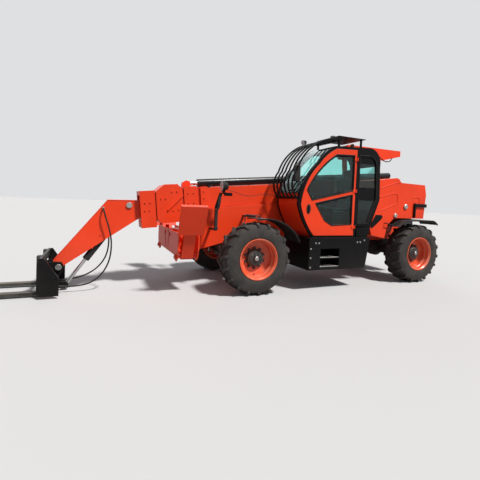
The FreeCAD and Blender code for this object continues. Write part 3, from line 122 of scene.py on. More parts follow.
def link_object(name: str, data: bpy.types.ID) -> bpy.types.Object:
    """A new object in the scene."""
    made = bpy.data.objects.new(name, data)
    bpy.context.scene.collection.objects.link(made)
    return made


def plain_mesh(name: str, points: Iterable[Point], edges: Sequence[Point] = (),
               faces: Sequence[Point] = ()) -> bpy.types.Mesh:
    """Make a mesh from lists.

    Args:
        name: Its name.
        points: Its points.
        edges: The two points of each edge, by index.
        faces: The points of each face, by index.

    Returns:
        The mesh.
    """
    data = bpy.data.meshes.new(name)
    data.from_pydata([tuple(point) for point in points], edges, faces)
    return data


def evaluated_mesh(item: bpy.types.Object) -> bpy.types.Mesh:
    """The mesh that an object comes to, with its modifiers."""
    return bpy.data.meshes.new_from_object(item.evaluated_get(bpy.context.evaluated_depsgraph_get()))


# Node graphs


class NodeGraph:
    """A node tree under construction."""

    def __init__(self, tree: bpy.types.NodeTree) -> None:
        self.tree = tree

    def node(self, kind: str, settings: dict | None = None, inputs: dict | None = None) -> bpy.types.Node:
        """Make a node.

        Args:
            kind: The node's type.
            settings: Its own settings, which are set first.
            inputs: Its sockets, by name or index, with a number, a Value or a socket to link.

        Returns:
            The new node.
        """
        made = self.tree.nodes.new(kind)
        for key, value in (settings or {}).items():
            setattr(made, key, value)
        for key, value in (inputs or {}).items():
            source = value.socket if isinstance(value, Value) else value
            if isinstance(source, bpy.types.NodeSocket):
                self.tree.links.new(source, made.inputs[key])
            else:
                made.inputs[key].default_value = source
        return made

    def value(self, kind: str, settings: dict | None = None, inputs: dict | None = None,
              output: str | int = 0) -> "Value":
        """Make a node and take one of its outputs as a Value."""
        return Value(self, self.node(kind, settings, inputs).outputs[output])


def math_method(operation: str, swapped: bool = False) -> Callable:
    """A method of Value that adds a Math node.

    Args:
        operation: What the node does.
        swapped: Whether the other operand comes first.

    Returns:
        The method.
    """
    def method(self: "Value", *others: "Value | float") -> "Value":
        """The Math node's result."""
        operands = (*others, self) if swapped else (self, *others)
        return self.graph.value("ShaderNodeMath", {"operation": operation}, dict(enumerate(operands)))
    return method


class Value:
    """A number that varies over a surface: a socket whose operators add Math nodes."""

    def __init__(self, graph: NodeGraph, socket: bpy.types.NodeSocket) -> None:
        self.graph = graph
        self.socket = socket

    __add__, __radd__ = math_method("ADD"), math_method("ADD", swapped=True)
    __sub__, __rsub__ = math_method("SUBTRACT"), math_method("SUBTRACT", swapped=True)
    __mul__, __pow__ = math_method("MULTIPLY"), math_method("POWER")
    __abs__, __lt__ = math_method("ABSOLUTE"), math_method("LESS_THAN")
    least, most, wave = math_method("MINIMUM"), math_method("MAXIMUM"), math_method("SINE")

    def smooth(self, low: float, high: float) -> "Value":
        """0 below low, 1 above high and a soft step between them."""
        return self.graph.value("ShaderNodeMapRange", {"interpolation_type": "SMOOTHSTEP"},
                                {"Value": self, "From Min": low, "From Max": high})

    def band(self, centre: float, half: float) -> "Value":
        """1 at centre, falling to 0 at half away from it."""
        return 1.0 - abs(self - centre).smooth(half * 0.4, half)


class Shader(NodeGraph):
    """One material's node tree, with the textures that the finishes share."""

    def __init__(self, name: str) -> None:
        self.material = bpy.data.materials.new(name)
        self.material.use_nodes = True
        super().__init__(self.material.node_tree)
        self.tree.nodes.clear()
        self.place = self.node("ShaderNodeTexCoord")

    def axes(self, space: str = "Object") -> tuple[Value, Value, Value]:
        """The x, y and z of the point on the object, or of its Normal."""
        split = self.node("ShaderNodeSeparateXYZ", inputs={0: self.place.outputs[space]})
        return tuple(Value(self, output) for output in split.outputs)

    def noise(self, scale: float, detail: float = 3.0, roughness: float = 0.55,
              stretch: Point = (1.0, 1.0, 1.0)) -> Value:
        """Cloudy noise around 0.5, on the object's coordinates.

        Args:
            scale: Clouds per metre.
            detail: How many finer layers it has.
            roughness: How strong those layers are.
            stretch: A factor on each axis, to draw the clouds out.

        Returns:
            The noise.
        """
        at = self.node("ShaderNodeMapping", inputs={0: self.place.outputs["Object"], "Scale": stretch})
        return self.value("ShaderNodeTexNoise", inputs={
            "Vector": at.outputs[0], "Scale": scale, "Detail": detail, "Roughness": roughness})

    def cells(self, scale: float) -> Value:
        """Distance to the nearest of many scattered points."""
        return self.value("ShaderNodeTexVoronoi", inputs={
            "Vector": self.place.outputs["Object"], "Scale": scale}, output="Distance")

    def upward(self) -> Value:
        """How far a face looks up: 1 on a floor, 0 on a wall."""
        return self.axes("Normal")[2]

    def wheel_radius(self) -> Value:
        """Measure from the nearer axle.

        Returns:
            The distance of a point from the axle of the wheel that it is on.
        """
        x, _, z = self.axes()
        rear = x < (FRONT_AXLE + REAR_AXLE) / 2
        along = x - FRONT_AXLE + rear * (FRONT_AXLE - REAR_AXLE)
        up = z - AXLE_HEIGHT
        return (along * along + up * up) ** 0.5

    def rounded(self, radius: float) -> bpy.types.NodeSocket:
        """The normal, rounded at edges."""
        return self.node("ShaderNodeBevel", {"samples": BEVEL_SAMPLES}, {"Radius": radius}).outputs[0]

    def edges(self, radius: float) -> Value:
        """Find sharp edges by how a rounded normal leaves the true one.

        Args:
            radius: How far from an edge it looks.

        Returns:
            1 at sharp edges, 0 elsewhere.
        """
        flat = self.node("ShaderNodeNewGeometry")
        likeness = self.value("ShaderNodeVectorMath", {"operation": "DOT_PRODUCT"},
                              {0: self.rounded(radius), 1: flat.outputs["Normal"]}, "Value")
        return (1.0 - likeness).smooth(0.01, 0.16)

    def mix(self, mask: Value, low: "Colour | bpy.types.NodeSocket",
            high: "Colour | bpy.types.NodeSocket") -> bpy.types.NodeSocket:
        """A colour between two, by a mask."""
        ends = [(*end, 1.0) if isinstance(end, tuple) else end for end in (low, high)]
        return self.node("ShaderNodeMix", {"data_type": "RGBA"}, {0: mask, 6: ends[0], 7: ends[1]}).outputs[2]

    def relief(self, height: Value, distance: float, strength: float = 1.0,
               rounding: float = 0.0) -> bpy.types.NodeSocket:
        """Raise a surface by its normal.

        Args:
            height: The pattern that stands up.
            distance: How high it stands.
            strength: How much of it is seen.
            rounding: The radius that sharp edges are rounded by.

        Returns:
            The normal.
        """
        inputs = {"Height": height, "Distance": distance, "Strength": strength}
        if rounding:
            inputs["Normal"] = self.rounded(rounding)
        return self.node("ShaderNodeBump", inputs=inputs).outputs[0]

    def finish(self, inputs: dict) -> bpy.types.Material:
        """Close the tree with the surface shader.

        Args:
            inputs: The shader's inputs.

        Returns:
            The material.
        """
        surface = self.node("ShaderNodeBsdfPrincipled", inputs=inputs)
        self.node("ShaderNodeOutputMaterial", inputs={0: surface.outputs[0]})
        return self.material


# Finishes


@dataclass(frozen=True)
class Finish:
    """What a surface is made of. Each kind builds its own material."""

    name: str
    slot: Slot
    colour: Colour

    def build(self) -> bpy.types.Material:
        """Make the material."""
        raise NotImplementedError


@dataclass(frozen=True)
class Paint(Finish):
    """Sprayed paint with dust on top, splashes low down and worn edges."""

    roughness: float = 0.36
    dust: float = 0.45
    wear: float = 0.6
    coat: float = 0.0
    specular: float = 0.25
    metal: Colour = (0.16, 0.13, 0.11)
    soil: Colour = (0.42, 0.36, 0.29)
    rounding: float = 0.004

    def build(self) -> bpy.types.Material:
        """Make the material.

        Returns:
            The material.
        """
        shader = Shader(self.name)
        clouds = shader.noise(0.9, 5.0, 0.6)
        grit = shader.noise(42.0, 4.0, 0.65)
        streaks = shader.noise(9.0, 3.0, 0.6, (1.0, 1.0, 0.16))
        height = shader.axes()[2]
        settled = shader.upward().smooth(0.45, 0.98) * 0.55 + (1.15 - height).smooth(0.0, 1.1) * 0.5
        dirt = settled * (clouds * 0.8 + grit * 0.5).smooth(0.42, 0.82) + streaks.smooth(0.56, 0.8) * 0.12
        dust = (dirt * self.dust).least(0.85)
        worn = (shader.edges(0.006) * grit.smooth(0.5, 0.62) * self.wear).least(1.0)
        chips = shader.cells(26.0).smooth(0.06, 0.03) * clouds.smooth(0.56, 0.66) * 0.5
        tone = shader.mix(clouds.smooth(0.3, 0.7), shade(self.colour, 0.88), shade(self.colour, 1.06))
        dusty = shader.mix(dust, tone, self.soil)
        skin = shader.noise(420.0, 2.0, 0.5)
        return shader.finish({
            "Base Color": shader.mix((worn + chips * self.wear).least(1.0), dusty, self.metal),
            "Roughness": (self.roughness + dust * 0.5 + worn * 0.2 + clouds * 0.08).least(0.95),
            "Specular IOR Level": self.specular,
            "Coat Weight": self.coat,
            "Coat Roughness": 0.10,
            "Normal": shader.relief(skin + grit * dust * 2.0, 0.00035, 0.35, self.rounding)})


@dataclass(frozen=True)
class RimPaint(Finish):
    """The wheel's paint: its colour on the rim, black on the hub."""

    hub: Colour
    hub_radius: float
    soil: Colour = (0.40, 0.33, 0.26)
    metal: Colour = (0.18, 0.15, 0.13)

    def build(self) -> bpy.types.Material:
        """Make the material.

        Returns:
            The material.
        """
        shader = Shader(self.name)
        radius = shader.wheel_radius()
        grit = shader.noise(38.0, 4.0, 0.65)
        clouds = shader.noise(5.0, 4.0, 0.6)
        dust = (clouds * 0.7 + grit * 0.5).smooth(0.5, 0.85) * (0.30 + radius.smooth(0.2, 0.33) * 0.25)
        tone = shader.mix(clouds.smooth(0.3, 0.7), shade(self.colour, 0.9), self.colour)
        painted = shader.mix(radius < self.hub_radius, tone, self.hub)
        worn = shader.edges(0.004) * grit.smooth(0.5, 0.62) * 0.5
        return shader.finish({
            "Base Color": shader.mix(worn, shader.mix(dust, painted, self.soil), self.metal),
            "Roughness": (0.34 + dust * 0.6).least(0.9),
            "Coat Weight": (0.3 - dust * 0.5).most(0.0),
            "Normal": shader.relief(grit, 0.0006, 0.25, 0.004)})


@dataclass(frozen=True)
class TyreRubber(Finish):
    """Dusty tyre rubber, with moulded rings on the sidewall."""

    soil: Colour
    rings: Sequence[Point] = ((0.372, 0.006), (0.395, 0.005), (0.505, 0.006))

    def build(self) -> bpy.types.Material:
        """Make the material.

        Returns:
            The material.
        """
        shader = Shader(self.name)
        radius = shader.wheel_radius()
        clouds = shader.noise(6.0, 5.0, 0.62)
        grit = shader.noise(90.0, 4.0, 0.7)
        tread = radius.smooth(0.545, 0.585)
        dust = (clouds.smooth(0.35, 0.75) * 0.45 + grit.smooth(0.45, 0.7) * 0.2) * (0.55 + tread * 0.6)
        first, *others = self.rings
        rings = sum((radius.band(*ring) for ring in others), radius.band(*first))
        fine = (radius * 900.0).wave() * radius.band(0.45, 0.045)
        tone = shader.mix(clouds, shade(self.colour, 0.75), self.colour)
        return shader.finish({
            "Base Color": shader.mix(dust.least(0.7), tone, self.soil),
            "Roughness": (0.72 + dust * 0.25).least(0.98),
            "Normal": shader.relief(rings + fine * 0.12 + grit * 0.25, 0.0035, 0.8, 0.006)})


@dataclass(frozen=True)
class Metal(Finish):
    """Bare or plated metal with fine streaks and a little grime."""

    roughness: float = 0.22
    metallic: float = 1.0
    grime: float = 0.3
    soil: Colour = (0.10, 0.085, 0.07)

    def build(self) -> bpy.types.Material:
        """Make the material.

        Returns:
            The material.
        """
        shader = Shader(self.name)
        streaks = shader.noise(160.0, 2.0, 0.5, (1.0, 0.05, 1.0))
        dirt = (shader.noise(7.0, 4.0, 0.6).smooth(0.5, 0.8) * self.grime).least(0.8)
        return shader.finish({
            "Base Color": shader.mix(dirt, self.colour, self.soil),
            "Metallic": self.metallic - dirt * 0.6,
            "Roughness": (self.roughness + dirt * 0.5 + streaks * 0.08).least(0.9),
            "Normal": shader.relief(streaks, 0.0002, 0.3, 0.002)})


@dataclass(frozen=True)
class Moulded(Finish):
    """Moulded plastic or rubber with a fine grain and pale dust."""

    roughness: float = 0.6
    grain: float = 600.0
    dust: float = 0.3
    soil: Colour = (0.34, 0.30, 0.25)

    def build(self) -> bpy.types.Material:
        """Make the material.

        Returns:
            The material.
        """
        shader = Shader(self.name)
        clouds = shader.noise(4.0, 4.0, 0.6)
        grain = shader.noise(self.grain, 2.0, 0.6)
        settled = (0.25 + shader.upward().smooth(0.3, 0.95)) * clouds.smooth(0.38, 0.75)
        dust = (settled * self.dust).least(0.7)
        tone = shader.mix(clouds, shade(self.colour, 0.8), shade(self.colour, 1.2))
        return shader.finish({
            "Base Color": shader.mix(dust, tone, self.soil),
            "Roughness": (self.roughness + dust * 0.4).least(0.95),
            "Specular IOR Level": 0.25,
            "Normal": shader.relief(grain, 0.0006, 0.4, 0.003)})


@dataclass(frozen=True)
class TintedGlass(Finish):
    """Tinted safety glass with dust gathered towards its lower edge."""

    film: Colour = (0.40, 0.40, 0.37)

    def build(self) -> bpy.types.Material:
        """Make the material.

        Returns:
            The material.
        """
        shader = Shader(self.name)
        low = (2.3 - shader.axes()[2]).smooth(0.0, 1.2)
        dust = (shader.noise(3.0, 5.0, 0.65).smooth(0.45, 0.8) * (0.05 + low * 0.10)).least(0.3)
        return shader.finish({
            "Base Color": shader.mix(dust, self.colour, self.film),
            "Roughness": 0.01 + dust * 0.25,
            "Transmission Weight": 1.0,
            "IOR": 1.45})


@dataclass(frozen=True)
class SeatVinyl(Finish):
    """Grained seat covering, with paler wear on its crown."""

    def build(self) -> bpy.types.Material:
        """Make the material.

        Returns:
            The material.
        """
        shader = Shader(self.name)
        worn = shader.noise(8.0, 4.0, 0.6).smooth(0.5, 0.75) * shader.upward().smooth(0.2, 0.9) * 0.35
        return shader.finish({
            "Base Color": shader.mix(worn, self.colour, shade(self.colour, 2.4)),
            "Roughness": 0.55 - worn * 0.3,
            "Normal": shader.relief(shader.cells(330.0), 0.0008, 0.5)})


@dataclass(frozen=True)
class Lens(Finish):
    """A lamp's lens: coloured plastic with moulded ribs over a bright back."""

    ribs: float = 260.0

    def build(self) -> bpy.types.Material:
        """Make the material.

        Returns:
            The material.
        """
        shader = Shader(self.name)
        _, y, z = shader.axes()
        ribs = (y * self.ribs).wave() * 0.5 + (z * self.ribs).wave() * 0.5
        spots = shader.noise(30.0, 3.0, 0.6).smooth(0.5, 0.8)
        return shader.finish({
            "Base Color": shader.mix(ribs.smooth(-0.6, 0.9), shade(self.colour, 0.6), self.colour),
            "Roughness": 0.08 + spots * 0.25,
            "Coat Weight": 0.8 - spots * 0.4,
            "Normal": shader.relief(ribs, 0.0012, 0.6)})


@dataclass(frozen=True)
class Finishes:
    """Every finish on the machine."""

    orange: Finish = Paint("orange_paint", Slot.ORANGE, (0.86, 0.052, 0.010), dust=0.20, wear=0.25,
                           coat=0.05, specular=0.3)
    black: Finish = Paint("black_paint", Slot.BLACK, (0.004, 0.004, 0.005), 0.34, 0.06, 0.2, specular=0.15)
    axle: Finish = Paint("axle_paint", Slot.BLACK, (0.018, 0.018, 0.019), 0.5, 0.6, 0.3)
    barrel: Finish = Paint("cylinder_paint", Slot.BLACK, (0.010, 0.011, 0.014), 0.26, 0.15, 0.2, 0.05, 0.3)
    cast: Finish = Paint("casting_paint", Slot.CAST, (0.035, 0.035, 0.037), 0.6, 0.6, 0.4)
    forks: Finish = Paint("fork_paint", Slot.BLACK, (0.012, 0.012, 0.013), 0.42, 0.35, 0.9)
    rim: Finish = RimPaint("rim_paint", Slot.RIM, (0.83, 0.10, 0.028), (0.018, 0.018, 0.018), 0.1325)
    tyre: Finish = TyreRubber("tyre_rubber", Slot.TYRE, (0.024, 0.021, 0.020), (0.12, 0.100, 0.084))
    chrome: Finish = Metal("chrome_rod", Slot.CHROME, (0.78, 0.78, 0.79), 0.12)
    steel: Finish = Metal("plated_steel", Slot.CHROME, (0.56, 0.55, 0.52), 0.32)
    bolt: Finish = Metal("dark_bolt", Slot.BLACK, (0.06, 0.06, 0.06), 0.4, 0.6)
    pin: Finish = Metal("pin_cap", Slot.CHROME, (0.50, 0.49, 0.47), 0.38, grime=0.5)
    plastic: Finish = Moulded("black_plastic", Slot.PLASTIC, (0.012, 0.012, 0.013))
    cabin: Finish = Moulded("cabin_plastic", Slot.PLASTIC, (0.020, 0.020, 0.022), 0.55, dust=0.12)
    rubber: Finish = Moulded("seal_rubber", Slot.PLASTIC, (0.012, 0.012, 0.012), 0.75, 300.0, 0.2)
    hose: Finish = Moulded("hose_rubber", Slot.HOSE, (0.018, 0.018, 0.018), 0.5, 900.0, 0.25)
    glass: Finish = TintedGlass("tinted_glass", Slot.GLASS, (0.42, 0.70, 0.67))
    seat: Finish = SeatVinyl("seat_vinyl", Slot.PLASTIC, (0.030, 0.030, 0.033))
    clear_lens: Finish = Lens("clear_lens", Slot.GLASS, (0.75, 0.77, 0.78))
    amber_lens: Finish = Lens("amber_lens", Slot.GLASS, (0.90, 0.22, 0.02))


FINISHES = Finishes()


@functools.cache
def material_of(finish: Finish) -> bpy.types.Material:
    """The material of a finish, made once."""
    return finish.build()


# Meshes


class Shape:
    """A mesh under construction, in metres in the machine's frame."""

    def __init__(self) -> None:
        self.mesh = bmesh.new()

    def skin(self, rings: Sequence[Sequence[Point]], ends: Ends = Ends.CAPS) -> "Shape":
        """Add faces over a row of rings.

        Args:
            rings: The points of each ring. A ring of one point is a pole.
            ends: What closes the row.

        Returns:
            The shape itself.
        """
        loops = [[self.mesh.verts.new(point) for point in ring] for ring in rings]
        made = [self.mesh.faces.new(loop) for loop in (loops[0], loops[-1])] if ends is Ends.CAPS else []
        following = loops[1:] + (loops[:1] if ends is Ends.JOINED else [])
        for near, far in zip(loops, following):
            count = max(len(near), len(far))
            for step in range(count):
                after = (step + 1) % count
                corners = dict.fromkeys((near[step % len(near)], near[after % len(near)],
                                         far[after % len(far)], far[step % len(far)]))
                made.append(self.mesh.faces.new(list(corners)))
        bmesh.ops.recalc_face_normals(self.mesh, faces=made)
        return self

    def block(self, low: Point, high: Point) -> "Shape":
        """Add a block between two corners."""
        low, high = Vector(low), Vector(high)
        return self.leaning_block((low + high) / 2, high - low, Matrix.Identity(3))

    def leaning_block(self, centre: Point, size: Point, turn: Matrix) -> "Shape":
        """Add a block of a size about a centre, turned by a matrix."""
        matrix = Matrix.Translation(Vector(centre)) @ turn.to_4x4() @ Matrix.Diagonal((*size, 1.0))
        bmesh.ops.create_cube(self.mesh, size=1.0, matrix=matrix)
        return self

    def rod(self, start: Point, end: Point, radius: float, sides: int = 24,
            end_radius: float | None = None) -> "Shape":
        """Add a round bar between two points.

        Args:
            start: The middle of its first end.
            end: The middle of its other end.
            radius: Its radius.
            sides: How many faces it has round it.
            end_radius: Another radius at its other end, for a cone.

        Returns:
            The shape itself.
        """
        start, end = Vector(start), Vector(end)
        turn = (end - start).to_track_quat("Z", "Y").to_matrix().to_4x4()
        bmesh.ops.create_cone(
            self.mesh, cap_ends=True, segments=sides, radius1=radius,
            radius2=radius if end_radius is None else end_radius,
            depth=(end - start).length, matrix=Matrix.Translation((start + end) / 2) @ turn)
        return self

    def tube(self, points: Sequence[Point], radius: float, sides: int = 12) -> "Shape":
        """Add a tube with closed ends.

        Args:
            points: The middles of its rings.
            radius: Its radius.
            sides: How many faces it has round it.

        Returns:
            The shape itself.
        """
        points = [Vector(point) for point in points]
        angles = [math.tau * step / sides for step in range(sides)]
        side, rings = None, []
        for index, point in enumerate(points):
            along = (points[min(index + 1, len(points) - 1)] - points[max(index - 1, 0)]).normalized()
            if side is None:
                side = along.orthogonal().normalized()
            side = (side - along * side.dot(along)).normalized()
            other = along.cross(side)
            rings.append([point + (side * math.cos(angle) + other * math.sin(angle)) * radius
                          for angle in angles])
        return self.skin(rings)

    def plate(self, outline: Sequence[Point], low: float, high: float) -> "Shape":
        """Add a plate: an outline of (x, z) corners, between two places on the Y axis."""
        return self.skin([[(x, y, z) for x, z in outline] for y in (low, high)])

    def border(self, outline: Sequence[Point], width: float, low: float, high: float) -> "Shape":
        """Add a flat border inside an outline of (x, z) corners, between two places on the Y axis."""
        loops = ((outline, low), (inset(outline, width), low), (inset(outline, width), high), (outline, high))
        return self.skin([[(x, y, z) for x, z in line] for line, y in loops], Ends.JOINED)

    def sheet(self, path: Sequence[Point], thickness: float, low: float, high: float) -> "Shape":
        """Add a bent sheet.

        Args:
            path: (x, z) points from front to rear.
            thickness: How far it reaches above the path.
            low: Its first edge's y.
            high: Its other edge's y.

        Returns:
            The shape itself.
        """
        rings = []
        for index, (x, z) in enumerate(path):
            before, after = path[max(index - 1, 0)], path[min(index + 1, len(path) - 1)]
            along = (Vector(after) - Vector(before)).normalized() * thickness
            rings.append([(x + along.y * side, y, z - along.x * side)
                          for side, y in ((0, low), (1, low), (1, high), (0, high))])
        return self.skin(rings)

    def lathe(self, profile: Sequence[Point], centre: Point, axis: Axis, sides: int = 48) -> "Shape":
        """Add a solid of revolution.

        Args:
            profile: (radius, place along the axis), from one end of the axis to the other.
            centre: Where the axis is and its places start.
            axis: The axis that it turns about.
            sides: How many faces it has round it.

        Returns:
            The shape itself.
        """
        along = axis.vector
        side = along.orthogonal().normalized()
        other = along.cross(side)
        rings = []
        for radius, place in profile:
            angles = [math.tau * step / sides for step in range(sides if radius > 0 else 1)]
            rings.append([Vector(centre) + along * place
                          + (side * math.cos(angle) + other * math.sin(angle)) * radius for angle in angles])
        return self.skin(rings, Ends.OPEN)

    def mirrored(self) -> "Shape":
        """Add a copy of everything so far on the machine's other side.

        Returns:
            The shape itself.
        """
        everything = [*self.mesh.verts, *self.mesh.edges, *self.mesh.faces]
        copy = bmesh.ops.duplicate(self.mesh, geom=everything)["geom"]
        for item in copy:
            if isinstance(item, bmesh.types.BMVert):
                item.co.y = -item.co.y
        faces = [item for item in copy if isinstance(item, bmesh.types.BMFace)]
        bmesh.ops.reverse_faces(self.mesh, faces=faces)
        return self

    def to_object(self, name: str) -> bpy.types.Object:
        """Close the mesh and put it in the scene.

        Args:
            name: The object's name.

        Returns:
            The object.
        """
        data = bpy.data.meshes.new(name)
        self.mesh.to_mesh(data)
        self.mesh.free()
        return link_object(name, data)

    def hand_over(self, name: str, body: str, finish: Finish, bevel: float = 0.0) -> bpy.types.Object:
        """Close the mesh, dress it and let it ride on its body."""
        return hand_over(self.to_object(name), body, finish, bevel)


def soften(piece: bpy.types.Object) -> None:
    """Shade a mesh smooth except at its sharp edges."""
    piece.data.polygons.foreach_set("use_smooth", [True] * len(piece.data.polygons))
    piece.data.set_sharp_from_angle(angle=SMOOTH_ANGLE)


def hand_over(piece: bpy.types.Object, body: str, finish: Finish, bevel: float = 0.0) -> bpy.types.Object:
    """Dress a finished mesh and let it ride on its body.

    Args:
        piece: The mesh object, with its place in its mesh.
        body: The CAD body that it moves with.
        finish: Its finish.
        bevel: How far its sharp edges are rounded.

    Returns:
        The piece.
    """
    soften(piece)
    if bevel:
        modifier = piece.modifiers.new("Rounded", "BEVEL")
        modifier.width = bevel
        modifier.segments = BEVEL_SEGMENTS
        modifier.limit_method = "ANGLE"
    piece.data.materials.clear()
    piece.data.materials.append(material_of(finish))
    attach(piece, body)
    log.info("%s rides on %s", piece.name, body)
    return piece


# Repeats


class Repeat(NodeGraph):
    """A Geometry Nodes tree that repeats a form over the points or edges of a mesh."""

    def __init__(self, name: str, sizes: dict[str, float | int]) -> None:
        super().__init__(bpy.data.node_groups.new(name, "GeometryNodeTree"))
        face = self.tree.interface
        face.new_socket("Geometry", in_out="INPUT", socket_type="NodeSocketGeometry")
        self.keys = {}
        for label, value in {**sizes, "Finish": None}.items():
            kind = {int: "Int", float: "Float"}.get(type(value), "Material")
            socket = face.new_socket(label, in_out="INPUT", socket_type=f"NodeSocket{kind}")
            if value is not None:
                socket.default_value = value
            self.keys[label] = socket.identifier
        face.new_socket("Geometry", in_out="OUTPUT", socket_type="NodeSocketGeometry")
        self.given = self.node("NodeGroupInput").outputs

    def close(self, geometry: bpy.types.NodeSocket) -> "Repeat":
        """End the tree: instances made real, and the finish set."""
        real = self.node("GeometryNodeRealizeInstances", inputs={0: geometry})
        dressed = self.node("GeometryNodeSetMaterial", inputs={
            0: real.outputs[0], "Material": self.given["Finish"]})
        self.node("NodeGroupOutput", inputs={0: dressed.outputs[0]})
        return self

    def close_on_points(self, form: bpy.types.Node, turn: bpy.types.Node | None = None) -> "Repeat":
        """End the tree with a form on each of the points, turned by a node's rotation."""
        inputs = {"Points": self.given["Geometry"], "Instance": form.outputs[0]}
        if turn:
            inputs["Rotation"] = turn.outputs[0]
        return self.close(self.node("GeometryNodeInstanceOnPoints", inputs=inputs).outputs[0])

    def spread(self, name: str, body: str, finish: Finish, data: bpy.types.Mesh,
               sizes: dict[str, float | int] | None = None) -> bpy.types.Object:
        """Run the tree on a mesh and hand its result over as a plain mesh.

        Args:
            name: The piece's name.
            body: The body that it rides on.
            finish: Its finish.
            data: The mesh whose points or edges are repeated over.
            sizes: The inputs that differ from the tree's own.

        Returns:
            The piece.
        """
        piece = link_object(name, data)
        modifier = piece.modifiers.new("Repeat", "NODES")
        modifier.node_group = self.tree
        for label, value in {**(sizes or {}), "Finish": material_of(finish)}.items():
            modifier[self.keys[label]] = value
        made = evaluated_mesh(piece)
        piece.modifiers.remove(modifier)
        piece.data = made
        return hand_over(piece, body, finish)


def bolt_tree() -> Repeat:
    """Hex bolts on washers at each point, which look the way of the point's facing.

    Returns:
        The tree.
    """
    tree = Repeat("Bolts", {"Across": 0.024, "Height": 0.012, "Washer": 0.017, "Seat": 0.003})
    across, height, washer, seat = (
        Value(tree, tree.given[label]) for label in ("Across", "Height", "Washer", "Seat"))
    facing = tree.node("GeometryNodeInputNamedAttribute", {"data_type": "FLOAT_VECTOR"}, {"Name": "facing"})
    turn = tree.node("FunctionNodeAlignRotationToVector", {"axis": "Z"}, {"Vector": facing.outputs[0]})
    join = tree.node("GeometryNodeJoinGeometry")
    for sides, radius, depth, base in ((16, washer, seat, 0.0), (6, across * ACROSS_TO_RADIUS, height, seat)):
        disc = tree.node("GeometryNodeMeshCylinder", {"fill_type": "NGON"}, {
            "Vertices": sides, "Radius": radius, "Depth": depth})
        lift = tree.node("ShaderNodeCombineXYZ", inputs={2: depth * 0.5 + base})
        raised = tree.node("GeometryNodeTransform", inputs={
            0: disc.outputs[0], "Translation": lift.outputs[0]})
        tree.tree.links.new(raised.outputs[0], join.inputs[0])
    return tree.close_on_points(join, turn)


def strip_tree() -> Repeat:
    """A round strip along the edges of a mesh, for seals, pipes and beads of weld.

    Returns:
        The tree.
    """
    tree = Repeat("Strip", {"Radius": 0.006, "Sides": 8, "Ripple": 0.0, "Ripple Scale": 60.0, "Seed": 3.0})
    curve = tree.node("GeometryNodeMeshToCurve", inputs={0: tree.given["Geometry"]})
    fine = tree.node("GeometryNodeResampleCurve", {"mode": "LENGTH"}, {
        0: curve.outputs[0], "Length": STRIP_STEP})
    profile = tree.node("GeometryNodeCurvePrimitiveCircle", inputs={
        "Resolution": tree.given["Sides"], "Radius": tree.given["Radius"]})
    tube = tree.node("GeometryNodeCurveToMesh", inputs={
        0: fine.outputs[0], 1: profile.outputs[0], "Fill Caps": True})
    cloud = tree.value("ShaderNodeTexNoise", {"noise_dimensions": "4D"}, {
        "Scale": tree.given["Ripple Scale"], "W": tree.given["Seed"]})
    normal = tree.node("GeometryNodeInputNormal")
    push = tree.node("ShaderNodeVectorMath", {"operation": "SCALE"}, {
        0: normal.outputs[0], "Scale": (cloud - 0.5) * Value(tree, tree.given["Ripple"])})
    moved = tree.node("GeometryNodeSetPosition", inputs={0: tube.outputs[0], "Offset": push.outputs[0]})
    smooth = tree.node("GeometryNodeSetShadeSmooth", inputs={0: moved.outputs[0]})
    return tree.close(smooth.outputs[0])


def slat_tree() -> Repeat:
    """Slats along X: each point of the mesh carries a thin leaning slat.

    Returns:
        The tree.
    """
    tree = Repeat("Slats", {"Length": 0.2, "Depth": 0.03, "Thickness": 0.002, "Lean": 0.6})
    size = tree.node("ShaderNodeCombineXYZ", inputs={
        0: tree.given["Length"], 1: tree.given["Depth"], 2: tree.given["Thickness"]})
    lean = tree.node("ShaderNodeCombineXYZ", inputs={0: tree.given["Lean"]})
    return tree.close_on_points(tree.node("GeometryNodeMeshCube", inputs={"Size": size.outputs[0]}), lean)


def grip_tree() -> Repeat:
    """Raised grips of a tread: a blunt cone on each point.

    Returns:
        The tree.
    """
    tree = Repeat("Grips", {"Radius": 0.009, "Rise": 0.004})
    return tree.close_on_points(tree.node("GeometryNodeMeshCone", {"fill_type": "NGON"}, {
        "Vertices": 8, "Radius Top": Value(tree, tree.given["Radius"]) * 0.7,
        "Radius Bottom": tree.given["Radius"], "Depth": tree.given["Rise"]}))


